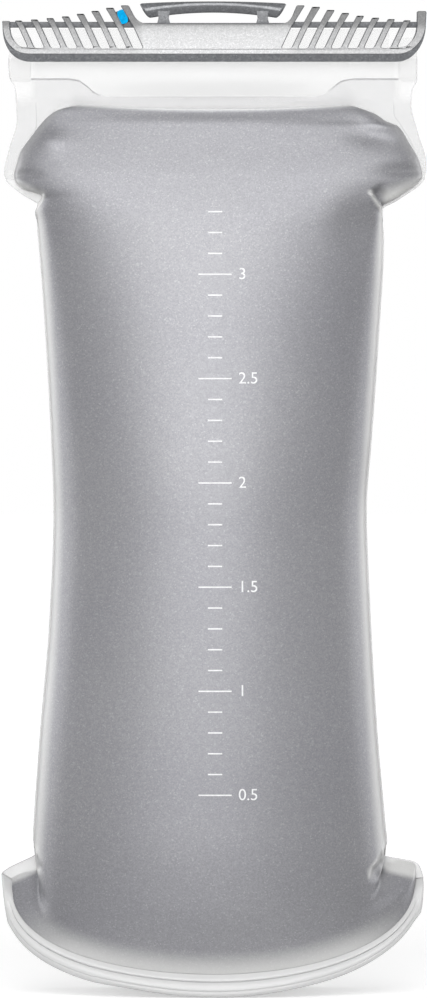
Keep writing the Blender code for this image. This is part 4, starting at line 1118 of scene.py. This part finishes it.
def make_tabs(finishes):
    """Frosted tabs at the two lower corners of the mouth, front and back."""
    for name, (left, right) in (("left", TAB_LEFT), ("right", TAB_RIGHT)):
        corners = [
            (left, TAB_LOW, TAB_CORNER),
            (right, TAB_LOW, TAB_CORNER / 2),
            (right, TAB_HIGH, 0.0),
            (left, TAB_HIGH, 0.0),
        ]
        for side, low_y, high_y in (("front", -TAB_FRONT_Y, -TAB_BACK_Y), ("back", TAB_BACK_Y, TAB_FRONT_Y)):
            mesh = outline_mesh("tab", filleted(corners), low_y, high_y)
            obj = add_object(f"{side}_{name}_tab", round_edges(mesh), finishes["tab"])
            soften(obj, 0.3 * MM)
            settle(obj)
            # Painted shade: the tab's faces not turned up to the light take a greyer copy of its film
            paint_faces(obj, finishes["tab"], finishes["tab painted shade"])
            place_piece(obj, "reservoir", "film")


def make_rails(finishes):
    for side, sign in (("front", -1), ("back", 1)):
        mesh = outline_mesh("rail", RAIL_SECTION, -RAIL_HALF, RAIL_HALF)
        mesh.transform(Matrix.Rotation(sign * math.pi / 2, 4, "Z"))
        obj = add_object(f"{side}_mouth_rail", round_edges(mesh), finishes["rail"])
        soften(obj, RAIL_EDGE)
        settle(obj)
        place_piece(obj, "reservoir", "rail", f"{side}_rail")


# Slide closure

def corner_arc(sign, inset_x, inset_z, low_z, first=0.0, last=1.0):
    """Points round a lower corner of the closure, from its end down to its bottom edge."""
    middle_x = CLOSURE_ENDS[sign] - CORNER_RX
    power = CORNER_SQUARE[sign]
    points = []
    for i in range(CORNER_STEPS + 1):
        angle = math.pi / 2 * (first + (last - first) * i / CORNER_STEPS)
        x = middle_x + (CORNER_RX - inset_x) * max(0.0, math.cos(angle)) ** power
        z = FACE_TOP - (FACE_TOP - low_z - inset_z) * math.sin(angle) ** power
        points.append((sign * x, z, 0.0))
    return points


def slot_side(sign, index, edge, z):
    """Distance from the middle of a slot's inner (-1) or outer (1) side at a height."""
    above = max(0.0, z - SPINE_Z)
    middle = SLOT_FIRST_X[sign] + SLOT_PITCH[sign] * index + RIB_LEAN[sign] * (z - SLOT_Z) + RIB_BEND * above
    return middle + edge * (SLOT_HALF - RIB_SPREAD * above)


def rib_top(sign, index):
    """Height of the top of the rib outside a slot."""
    x = slot_side(sign, index, 1, FACE_TOP) + SLOT_PITCH[sign] / 2 - SLOT_HALF
    return through(RIB_TOPS, x + RIB_LEAN[sign] * 4.0 * MM)


def comb_half(sign):
    """Corners along the ribs of one half of the face, from its outer end to the middle plate."""
    last = SLOT_COUNT - 1
    corners = []
    if sign > 0:
        corners += [(STOP_OUT, STOP_TOP, STOP_ROUND), (STOP_IN, STOP_TOP, STOP_ROUND)]
    else:
        end = CLOSURE_ENDS[sign]
        end_top = RIB_TOPS[-1][1]
        corners += [(end + 0.2 * MM, end_top, 0.6 * MM), (end - BORDER_X[sign], end_top, 0.6 * MM)]
    arc = corner_arc(sign, BORDER_X[sign], BORDER_Z, FACE_Z, 0.0, 0.70)
    corners += [(abs(x), z, r) for x, z, r in arc]
    for index in range(last, -1, -1):
        top_out = rib_top(sign, index)
        top_in = rib_top(sign, index - 1)
        floor = SLOT_Z + SLOT_RISE * (index + 1) ** 2 + SLOT_SHIFT[sign]
        if index < last:
            corners.append((slot_side(sign, index, 1, top_out), top_out, RIB_ROUND))
            corners.append((slot_side(sign, index, 1, SPINE_Z), SPINE_Z, 0.0))
            corners.append((slot_side(sign, index, 1, floor), floor, SLOT_OUTER_ROUND))
        corners.append((slot_side(sign, index, -1, floor), floor, SLOT_INNER_ROUND))
        corners.append((slot_side(sign, index, -1, SPINE_Z), SPINE_Z, 0.0))
        corners.append((slot_side(sign, index, -1, top_in), top_in, RIB_ROUND))
    inner_top = rib_top(sign, -1)
    inner_x = slot_side(sign, 0, -1, inner_top) - 3.8 * MM
    corners.append((inner_x, inner_top, 1.2 * MM))
    corners.append((PLATE_CORNER[sign], FACE_TOP + 0.1 * MM, PLATE_ROUND))
    corners.append((PLATE_FLAT, FACE_TOP, 0.0))
    return [(sign * x, z, r) for x, z, r in corners]


def face_outline():
    left_arc = corner_arc(-1, 0.0, 0.0, FACE_Z)
    right_arc = corner_arc(1, 0.0, 0.0, FACE_Z)
    return filleted(left_arc + right_arc[::-1] + comb_half(1) + comb_half(-1)[::-1])


def lip_outline():
    """The narrow band under the face, which follows its rounded corners."""
    lower = corner_arc(-1, 0.0, 0.0, LIP_Z) + corner_arc(1, 0.0, 0.0, LIP_Z)[::-1]
    upper = corner_arc(-1, 1.0 * MM, 0.6 * MM, FACE_Z) + corner_arc(1, 1.0 * MM, 0.6 * MM, FACE_Z)[::-1]
    return [(x, z) for x, z, _ in lower + upper[::-1]]


def post_outline(sign):
    """A waisted post between the plate and the handle."""
    foot = FACE_TOP - 0.6 * MM
    head = HANDLE_LOW + 0.8 * MM
    middle = (foot + head) / 2
    x = POST_X[sign]
    corners = [
        (x - POST_FOOT, foot, 0.0),
        (x + POST_FOOT, foot, 0.0),
        (x + POST_WAIST, middle, 2.4 * MM),
        (x + POST_FOOT * 0.9, head, 0.0),
        (x - POST_FOOT * 0.9, head, 0.0),
        (x - POST_WAIST, middle, 2.4 * MM),
    ]
    return filleted(corners)


def paint_faces(obj, lit_finish, shaded_finish):
    """Painted light and shade: flat faces and faces turned up to the light take the bright finish, the others its
    darker painted-shade copy.
    """
    mesh = obj.data
    mesh.materials.clear()
    mesh.materials.append(lit_finish)
    mesh.materials.append(shaded_finish)
    for polygon in mesh.polygons:
        nx, ny, nz = polygon.normal
        level = all(abs(mesh.vertices[i].co.y) > WALL_OUT_Y - 0.01 * MM for i in polygon.vertices)
        flat = level or abs(ny) > 0.95 or (abs(ny) > 0.9 and abs(nx) < 0.2)
        lit = flat or (abs(ny) > 0.3 and nz > 0.2)
        polygon.material_index = 0 if lit else 1


def button_frame():
    """Centre of the lock button, on the line of the innermost left slot."""
    x = -slot_side(-1, 0, 0, BUTTON_Z)
    return Matrix.Translation((x, 0, BUTTON_Z)) @ Matrix.Rotation(-BUTTON_LEAN, 4, "Y")


def make_closure(finishes):
    parts = []
    for side, sign in (("front", -1), ("back", 1)):
        low_y, high_y = sorted((sign * WALL_OUT_Y, sign * WALL_IN_Y))
        plate = add_object("plate", outline_mesh("plate", face_outline(), low_y, high_y))
        soften(plate, FACE_EDGE, 2, clamp=False)
        settle(plate)
        for vertex in plate.data.vertices:
            if abs(vertex.co.y) > WALL_OUT_Y - 0.04 * MM:
                vertex.co.y = sign * WALL_OUT_Y
        paint_faces(plate, finishes["silver"], finishes["edge"])
        low_y, high_y = sorted((sign * LIP_OUT_Y, sign * SLOT_HALF_Y))
        # The lip takes the painted-shade copy of the closure grey
        lip = add_object("lip", outline_mesh("lip", lip_outline(), low_y, high_y), finishes["edge"])
        soften(lip, 0.35 * MM, 3)
        parts += [plate, lip]
    blocks = [
        ((0.8 * MM - CLOSURE_ENDS[-1], -SPINE_Y, SPINE_Z), (-PLATE_CORNER[-1], SPINE_Y, SPINE_TOP)),
        ((-PLATE_CORNER[-1] - 0.5 * MM, -SPINE_Y, SPINE_Z), (PLATE_CORNER[1] + 0.5 * MM, SPINE_Y, SPINE_DIP)),
        ((PLATE_CORNER[1], -SPINE_Y, SPINE_Z), (END_WALL[1], SPINE_Y, SPINE_TOP)),
        ((END_WALL[0], -SPINE_Y, END_WALL_LOW), (END_WALL[1], SPINE_Y, STOP_TOP - 0.3 * MM)),
    ]
    # The spine blocks and the seat take the painted-shade copy as well
    for low, high in blocks:
        block = add_object("block", box_mesh("block", low, high), finishes["edge"])
        soften(block, 0.25 * MM)
        parts.append(block)
    for sign in (-1, 1):
        post = outline_mesh("post", post_outline(sign), -POST_HALF_DEPTH, POST_HALF_DEPTH)
        obj = add_object("post", post, finishes["post"])
        soften(obj, 0.3 * MM)
        parts.append(obj)
    seat = box_mesh("seat", (-3.2 * MM, SEAT_FRONT_Y, -4.6 * MM), (3.2 * MM, SEAT_BACK_Y, 3.2 * MM))
    seat.transform(button_frame())
    seat_obj = add_object("seat", seat, finishes["edge"])
    soften(seat_obj, 0.3 * MM)
    parts.append(seat_obj)
    closure = joined("closure_frame", parts)
    mesh = round_edges(closure.data, 20.0)
    for polygon in mesh.polygons:
        levels = [abs(mesh.vertices[i].co.y) for i in polygon.vertices]
        polygon.use_smooth = max(abs(level - WALL_OUT_Y) for level in levels) > 0.01 * MM
    place_piece(closure, "closure", "closure", "slide_closure")


def handle_section(ridge, tall):
    """The bar's section as shares of its half depth and height, with its ridge at a share of the height."""
    lean = 0.55 * (1 - ridge) * tall / HANDLE_HALF_DEPTH
    half = [
        (0.78 - lean, 1.0),
        (0.93 - lean, 0.985),
        (0.98 - lean, 0.95),
        (0.955, ridge + 0.12),
        (0.988, ridge + 0.04),
        (1.0, ridge - 0.04),
        (0.99, ridge - 0.12),
        (0.82, 0.12),
        (0.76, 0.04),
        (0.60, 0.0),
    ]
    return [(-y, z) for y, z in half[::-1]] + half


def make_handle(finishes):
    """The arched bar, lofted along X with a ridge on each side."""
    points = []
    for i in range(HANDLE_STEPS + 1):
        share = 2 * i / HANDLE_STEPS - 1
        share = math.sin(share * math.pi / 2)
        low = HANDLE_LOW - HANDLE_LOW_FALL * share * share
        top = HANDLE_TOP - HANDLE_TOP_FALL * share * share
        close = math.sqrt(max(0.0, 1 - max(0.0, (abs(share) - 1 + HANDLE_END_ROUND) / HANDLE_END_ROUND) ** 2))
        close = 0.80 + 0.20 * close
        middle = (low + top) / 2
        ridge = HANDLE_RIDGE - HANDLE_RIDGE_FALL * share * share
        ring = []
        for y, z in handle_section(ridge, top - low):
            height = low + (top - low) * z
            toe = HANDLE_TOE * max(0.0, 1 - z / HANDLE_TOE_HEIGHT) ** 2
            x = HANDLE_X + share * (HANDLE_HALF - HANDLE_SLANT * (1 - z) - toe)
            ring.append(Vector((x, y * HANDLE_HALF_DEPTH * close, middle + (height - middle) * close)))
        points.append(ring)
    mesh = grid_mesh("handle_bar", points, loop=True)
    bm = bmesh.new()
    bm.from_mesh(mesh)
    bmesh.ops.holes_fill(bm, edges=[e for e in bm.edges if e.is_boundary])
    bmesh.ops.recalc_face_normals(bm, faces=bm.faces)
    bm.to_mesh(mesh)
    bm.free()
    obj = add_object("handle_bar", round_edges(mesh, 30.0), finishes["handle"])
    place_piece(obj, "closure", "handle", "hang_handle")


def row_of_bars(name, count, pitch, size, finish):
    """A straight row of equal bars, made by a node tree and returned as a plain object."""
    tree = bpy.data.node_groups.new(name, "GeometryNodeTree")
    tree.interface.new_socket("Geometry", in_out="OUTPUT", socket_type="NodeSocketGeometry")
    inputs = {}
    for label, kind in (("Count", "NodeSocketInt"), ("Pitch", "NodeSocketVector"), ("Size", "NodeSocketVector")):
        inputs[label] = tree.interface.new_socket(label, in_out="INPUT", socket_type=kind).identifier
    nodes = tree.nodes
    links = tree.links
    source = nodes.new("NodeGroupInput")
    line = nodes.new("GeometryNodeMeshLine")
    bar = nodes.new("GeometryNodeMeshCube")
    spread = nodes.new("GeometryNodeInstanceOnPoints")
    solid = nodes.new("GeometryNodeRealizeInstances")
    paint = nodes.new("GeometryNodeSetMaterial")
    result = nodes.new("NodeGroupOutput")
    links.new(source.outputs["Count"], line.inputs["Count"])
    links.new(source.outputs["Pitch"], line.inputs["Offset"])
    links.new(source.outputs["Size"], bar.inputs["Size"])
    links.new(line.outputs["Mesh"], spread.inputs["Points"])
    links.new(bar.outputs["Mesh"], spread.inputs["Instance"])
    links.new(spread.outputs["Instances"], solid.inputs["Geometry"])
    links.new(solid.outputs["Geometry"], paint.inputs["Geometry"])
    paint.inputs["Material"].default_value = finish
    links.new(paint.outputs["Geometry"], result.inputs[0])
    obj = add_object(name, bpy.data.meshes.new(name))
    modifier = obj.modifiers.new("Bars", "NODES")
    modifier.node_group = tree
    modifier[inputs["Count"]] = count
    modifier[inputs["Pitch"]] = pitch
    modifier[inputs["Size"]] = size
    settle(obj)
    obj.data.transform(Matrix.Translation(Vector(pitch) * (1 - count) / 2))
    return obj


def make_button(finishes):
    """Slanted pill with grip ribs, its stem and the head that keeps it in its seat."""
    frame_matrix = button_frame()
    w, h = BUTTON_HALF_WIDTH, BUTTON_HALF_HEIGHT
    corners = [(-w, -h, BUTTON_ROUND), (w, -h, BUTTON_ROUND), (w, h, BUTTON_ROUND), (-w, h, BUTTON_ROUND)]
    pill = add_object("pill", outline_mesh("pill", filleted(corners), BUTTON_FRONT_Y, BUTTON_BACK_Y), finishes["blue"])
    soften(pill, 0.55 * MM, 4)
    stem = add_object("stem", box_mesh("stem", (-1.0 * MM, BUTTON_BACK_Y - 0.3 * MM, -1.6 * MM), (1.0 * MM, -0.1 * MM, 1.6 * MM)), finishes["blue"])
    head = add_object("head", box_mesh("head", (-1.6 * MM, -0.4 * MM, -2.3 * MM), (1.6 * MM, 0.8 * MM, 2.3 * MM)), finishes["blue"])
    soften(head, 0.25 * MM)
    ribs = row_of_bars("button_grips", BUTTON_RIBS, (0, 0, BUTTON_RIB_PITCH), (2.2 * MM, 0.3 * MM, 0.35 * MM), finishes["blue"])
    ribs.data.transform(Matrix.Translation((0, BUTTON_FRONT_Y - 0.02 * MM, 0)))
    soften(ribs, 0.1 * MM, 2)
    button = joined("button_cap", [pill, stem, head, ribs])
    button.data.transform(frame_matrix)
    round_edges(button.data, 40.0)
    place_piece(button, "button", "button", "lock_button")


# Outlet port

def port_matrix():
    out = Matrix.Rotation(-math.pi / 2, 4, "X")
    return Matrix.Translation((0, PORT_WALL_Y, PORT_Z)) @ out


def cut(obj, mesh):
    """Cuts a mesh out of an object and settles the result."""
    cutter = add_object("cutter", mesh)
    boolean = obj.modifiers.new("Cut", "BOOLEAN")
    boolean.object = cutter
    settle(obj)
    bpy.data.objects.remove(cutter, do_unlink=True)
    return obj


def make_port(finishes):
    shell = add_object("port_shell", turned_mesh("port_shell", PORT_PROFILE, port_matrix(), PORT_STEPS), finishes["port"])
    reach = LATCH_HALF + LATCH_RUN
    slot = box_mesh("slot", (-reach, LATCH_Y[0] - LATCH_RUN, LATCH_FLOOR), (reach, LATCH_Y[1] + LATCH_RUN, LATCH_PAD_Z + 0.1))
    cut(shell, slot)
    round_edges(shell.data, 35.0)
    place_piece(shell, "reservoir", "port", "port_body")
    plate = box_mesh("plate", (-LATCH_HALF, LATCH_Y[0], LATCH_FOOT), (LATCH_HALF, LATCH_Y[1], LATCH_PAD_Z + LATCH_PAD / 2))
    latch = add_object("latch_plate", plate, finishes["blue"])
    bm = bmesh.new()
    middle = (LATCH_Y[0] + LATCH_Y[1]) / 2
    turn = Matrix.Translation((0, middle, LATCH_HOLE_Z)) @ Matrix.Rotation(-math.pi / 2, 4, "X")
    bmesh.ops.create_cone(bm, cap_ends=True, segments=PORT_STEPS, radius1=LATCH_HOLE_R, radius2=LATCH_HOLE_R, depth=8 * MM, matrix=turn)
    hole = bpy.data.meshes.new("hole")
    bm.to_mesh(hole)
    bm.free()
    cut(latch, hole)
    half_x, half_y = LATCH_PAD_HALF
    pad = add_object("pad", box_mesh("pad", (-half_x, middle - half_y, LATCH_PAD_Z), (half_x, middle + half_y, LATCH_PAD_Z + LATCH_PAD)), finishes["blue"])
    soften(pad, 0.8 * MM, 4)
    ribs = row_of_bars("latch_grips", LATCH_RIBS, (LATCH_RIB_PITCH, 0, 0), (0.7 * MM, 3.8 * MM, 0.6 * MM), finishes["blue"])
    ribs.data.transform(Matrix.Translation((0, middle, LATCH_PAD_Z + LATCH_PAD)))
    soften(ribs, 0.2 * MM, 2)
    piece = joined("latch_slide", [latch, pad, ribs])
    round_edges(piece.data, 40.0)
    place_piece(piece, "latch", "latch", "release_latch")


def paint_inner_pieces(finishes):
    """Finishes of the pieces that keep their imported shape."""
    plain = {
        "valve_poppet": "valve",
        "valve_seal": "seal",
        "socket_seal": "seal",
        "valve_retainer": "port",
    }
    for node, finish in plain.items():
        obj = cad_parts[node]
        obj.data.materials.clear()
        obj.data.materials.append(finishes[finish])


def make_springs(finishes):
    """The two coils, copied from their imported shapes with the steel finish."""
    for node, (joint, axis, fixed, travel) in SPRINGS.items():
        coil = add_object(node.replace("spring", "coil"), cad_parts[node].data.copy(), finishes["steel"])
        place_piece(coil, "reservoir", "spring", node)
        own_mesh(coil)


# Printed fill scale

def tick_rule(finish):
    """Flat ticks up a rule, longer at every fifth one, made by a node tree."""
    tree = bpy.data.node_groups.new("Fill scale", "GeometryNodeTree")
    tree.interface.new_socket("Geometry", in_out="OUTPUT", socket_type="NodeSocketGeometry")
    inputs = {}
    for label, kind in (
        ("Count", "NodeSocketInt"),
        ("Pitch", "NodeSocketVector"),
        ("Long every", "NodeSocketFloat"),
        ("Long", "NodeSocketFloat"),
        ("Short", "NodeSocketFloat"),
        ("Line", "NodeSocketFloat"),
    ):
        inputs[label] = tree.interface.new_socket(label, in_out="INPUT", socket_type=kind).identifier
    nodes = tree.nodes
    links = tree.links
    source = nodes.new("NodeGroupInput")
    line = nodes.new("GeometryNodeMeshLine")
    tick = nodes.new("GeometryNodeMeshGrid")
    index = nodes.new("GeometryNodeInputIndex")
    left_over = nodes.new("ShaderNodeMath")
    left_over.operation = "MODULO"
    is_long = nodes.new("ShaderNodeMath")
    is_long.operation = "LESS_THAN"
    is_long.inputs[1].default_value = 0.5
    width = nodes.new("GeometryNodeSwitch")
    width.input_type = "FLOAT"
    size = nodes.new("ShaderNodeCombineXYZ")
    size.inputs["Z"].default_value = 1.0
    spread = nodes.new("GeometryNodeInstanceOnPoints")
    flat = nodes.new("GeometryNodeRealizeInstances")
    paint = nodes.new("GeometryNodeSetMaterial")
    result = nodes.new("NodeGroupOutput")
    tick.inputs["Size X"].default_value = 1.0
    tick.inputs["Size Y"].default_value = 1.0
    tick.inputs["Vertices X"].default_value = 12
    tick.inputs["Vertices Y"].default_value = 2
    paint.inputs["Material"].default_value = finish
    links.new(source.outputs["Count"], line.inputs["Count"])
    links.new(source.outputs["Pitch"], line.inputs["Offset"])
    links.new(index.outputs["Index"], left_over.inputs[0])
    links.new(source.outputs["Long every"], left_over.inputs[1])
    links.new(left_over.outputs[0], is_long.inputs[0])
    links.new(is_long.outputs[0], width.inputs["Switch"])
    links.new(source.outputs["Short"], width.inputs["False"])
    links.new(source.outputs["Long"], width.inputs["True"])
    links.new(width.outputs["Output"], size.inputs["X"])
    links.new(source.outputs["Line"], size.inputs["Y"])
    links.new(line.outputs["Mesh"], spread.inputs["Points"])
    links.new(tick.outputs["Mesh"], spread.inputs["Instance"])
    links.new(size.outputs["Vector"], spread.inputs["Scale"])
    links.new(spread.outputs["Instances"], flat.inputs["Geometry"])
    links.new(flat.outputs["Geometry"], paint.inputs["Geometry"])
    links.new(paint.outputs["Geometry"], result.inputs[0])
    obj = add_object("ticks", bpy.data.meshes.new("ticks"))
    modifier = obj.modifiers.new("Ticks", "NODES")
    modifier.node_group = tree
    modifier[inputs["Count"]] = SCALE_COUNT
    modifier[inputs["Pitch"]] = (0.0, SCALE_PITCH, 0.0)
    modifier[inputs["Long every"]] = float(SCALE_MAJOR_EVERY)
    modifier[inputs["Long"]] = SCALE_MAJOR
    modifier[inputs["Short"]] = SCALE_MINOR
    modifier[inputs["Line"]] = SCALE_LINE
    return settle(obj)


def number_mesh(text, x, y):
    curve = bpy.data.curves.new("number", "FONT")
    curve.body = text
    curve.size = SCALE_NUMBER_SIZE
    curve.align_y = "CENTER"
    curve.fill_mode = "FRONT"
    holder = add_object("number", curve)
    depsgraph = bpy.context.evaluated_depsgraph_get()
    mesh = bpy.data.meshes.new_from_object(holder.evaluated_get(depsgraph))
    bpy.data.objects.remove(holder, do_unlink=True)
    mesh.transform(Matrix.Translation((x, y, 0)))
    return mesh


def make_scale(finishes, wall):
    """Ticks and plain numbers, laid on the front wall."""
    parts = [tick_rule(finishes["print"])]
    for k in range(0, SCALE_COUNT, SCALE_MAJOR_EVERY):
        litres = 0.5 * (1 + k // SCALE_MAJOR_EVERY)
        mesh = number_mesh(f"{litres:g}", SCALE_NUMBER_X, k * SCALE_PITCH)
        parts.append(add_object("number", mesh, finishes["print"]))
    scale = joined("fill_scale", parts)
    scale.data.transform(Matrix.Translation((0, 0, SCALE_LOW)) @ Matrix.Rotation(math.pi / 2, 4, "X"))
    bm = bmesh.new()
    bm.from_mesh(wall.data)
    tree = BVHTree.FromBMesh(bm)
    bm.free()
    for vert in scale.data.vertices:
        start = Vector((vert.co.x, CAD_LOW.y - 0.1, vert.co.z))
        hit = tree.ray_cast(start, Vector((0, 1, 0)))[0]
        vert.co.y = hit.y - PRINT_PROUD
    thicken(scale, PRINT_PROUD, 0.0)
    settle(scale)
    place_piece(scale, "reservoir", "skin")


# Studio

def area_light(name, place, target, width, height, power):
    data = bpy.data.lights.new(name, "AREA")
    data.shape = "RECTANGLE"
    data.size = width
    data.size_y = height
    data.energy = power
    obj = bpy.data.objects.new(name, data)
    bpy.context.scene.collection.objects.link(obj)
    obj.location = place
    obj.rotation_euler = (Vector(target) - Vector(place)).to_track_quat("-Z", "Y").to_euler()


def make_world():
    """White to the eye and behind the object, dimmer at the sides and for plain light."""
    world = bpy.data.worlds.new("studio")
    bpy.context.scene.world = world
    world.use_nodes = True
    nodes = world.node_tree.nodes
    links = world.node_tree.links
    nodes.clear()
    path = nodes.new("ShaderNodeLightPath")
    direction = nodes.new("ShaderNodeTexCoord")
    split = nodes.new("ShaderNodeSeparateXYZ")
    links.new(direction.outputs["Generated"], split.inputs["Vector"])
    behind = nodes.new("ShaderNodeMapRange")
    behind.interpolation_type = "SMOOTHSTEP"
    behind.inputs["From Min"].default_value = 0.35
    behind.inputs["From Max"].default_value = 0.85
    behind.inputs["To Min"].default_value = 0.12
    links.new(split.outputs["Y"], behind.inputs["Value"])
    shine = nodes.new("ShaderNodeMath")
    shine.operation = "MULTIPLY"
    links.new(path.outputs["Is Glossy Ray"], shine.inputs[0])
    links.new(behind.outputs["Result"], shine.inputs[1])
    seen = nodes.new("ShaderNodeMath")
    seen.operation = "MAXIMUM"
    links.new(path.outputs["Is Camera Ray"], seen.inputs[0])
    links.new(path.outputs["Is Transmission Ray"], seen.inputs[1])
    white = nodes.new("ShaderNodeMath")
    white.operation = "MAXIMUM"
    links.new(seen.outputs[0], white.inputs[0])
    links.new(shine.outputs[0], white.inputs[1])
    level = nodes.new("ShaderNodeMapRange")
    level.inputs["To Min"].default_value = 0.20
    level.inputs["To Max"].default_value = 1.0
    links.new(white.outputs[0], level.inputs["Value"])
    background = nodes.new("ShaderNodeBackground")
    background.inputs["Color"].default_value = (1.0, 1.0, 1.0, 1.0)
    links.new(level.outputs["Result"], background.inputs["Strength"])
    output = nodes.new("ShaderNodeOutputWorld")
    links.new(background.outputs["Background"], output.inputs["Surface"])


def make_floor():
    """Pale floor that looks white where no shadow falls on it."""
    mesh = box_mesh("floor", (-6.0, -6.0, -0.02), (6.0, 6.0, -0.05 * MM))
    finish = Finish("studio floor", (0.86, 0.86, 0.86), 0.9)
    nodes, links = finish.nodes, finish.links
    path = nodes.new("ShaderNodeLightPath")
    length = nodes.new("ShaderNodeVectorMath")
    length.operation = "LENGTH"
    links.new(finish.place, length.inputs[0])
    near = finish.spread(length.outputs["Value"], 1.0, 0.0, 0.08, 0.30)
    shine = nodes.new("ShaderNodeMath")
    shine.operation = "MULTIPLY"
    links.new(path.outputs["Is Glossy Ray"], shine.inputs[0])
    links.new(near, shine.inputs[1])
    seen = nodes.new("ShaderNodeMath")
    seen.operation = "MAXIMUM"
    links.new(path.outputs["Is Camera Ray"], seen.inputs[0])
    links.new(path.outputs["Is Transmission Ray"], seen.inputs[1])
    white = nodes.new("ShaderNodeMath")
    white.operation = "MAXIMUM"
    links.new(seen.outputs[0], white.inputs[0])
    links.new(shine.outputs[0], white.inputs[1])
    far = finish.spread(length.outputs["Value"], FLOOR_LIFT_NEAR, FLOOR_LIFT_FAR, 0.25, 2.0)
    lift = nodes.new("ShaderNodeMath")
    lift.operation = "MULTIPLY"
    links.new(white.outputs[0], lift.inputs[0])
    links.new(far, lift.inputs[1])
    glow = nodes.new("ShaderNodeEmission")
    links.new(lift.outputs[0], glow.inputs["Strength"])
    shaded = nodes.new("ShaderNodeMath")
    shaded.operation = "SUBTRACT"
    links.new(path.outputs["Is Glossy Ray"], shaded.inputs[0])
    links.new(shine.outputs[0], shaded.inputs[1])
    finish.drive("Base Color", finish.mix(shaded.outputs[0], FLOOR_COLOUR, FLOOR_SHADED))
    add = nodes.new("ShaderNodeAddShader")
    links.new(finish.shader.outputs[0], add.inputs[0])
    links.new(glow.outputs[0], add.inputs[1])
    links.new(add.outputs[0], nodes["Material Output"].inputs["Surface"])
    add_object("floor", mesh, finish.material)


def make_camera():
    data = bpy.data.cameras.new("view")
    data.sensor_width = SENSOR
    data.lens = SENSOR * VIEW_DISTANCE / (FRAME_HEIGHT_PX * VIEW_PIXEL)
    data.clip_end = 100.0
    camera = bpy.data.objects.new("view", data)
    bpy.context.scene.collection.objects.link(camera)
    back = Vector((0, -math.cos(VIEW_ELEVATION), math.sin(VIEW_ELEVATION)))
    camera.location = VIEW_MIDDLE + VIEW_DISTANCE * back
    camera.rotation_euler = (-back).to_track_quat("-Z", "Y").to_euler()
    bpy.context.scene.camera = camera


def make_studio():
    bpy.context.scene.view_settings.view_transform = "Standard"
    make_world()
    make_floor()
    area_light("high softbox", (-0.03, -1.5, 1.35), (0, 0, 0.25), 2.0, 0.9, 20.0)
    area_light("front softbox", (-0.14, -2.3, 0.62), (0, 0, 0.25), 1.28, 1.24, 20.0)
    area_light("left strip", (-1.35, 0.60, 0.35), (0, 0, 0.25), 1.7, 1.4, 15.0)
    area_light("right strip", (1.35, 0.65, 0.35), (0, 0, 0.25), 1.7, 1.4, 13.0)
    make_camera()


def main():
    finishes = make_finishes()
    front_wall, _ = make_walls(finishes)
    make_flanges(finishes)
    make_rims(finishes)
    make_gusset(finishes)
    make_collars(finishes)
    make_tabs(finishes)
    make_rails(finishes)
    make_closure(finishes)
    make_handle(finishes)
    make_button(finishes)
    make_port(finishes)
    make_springs(finishes)
    paint_inner_pieces(finishes)
    make_scale(finishes, front_wall)
    make_studio()


main()
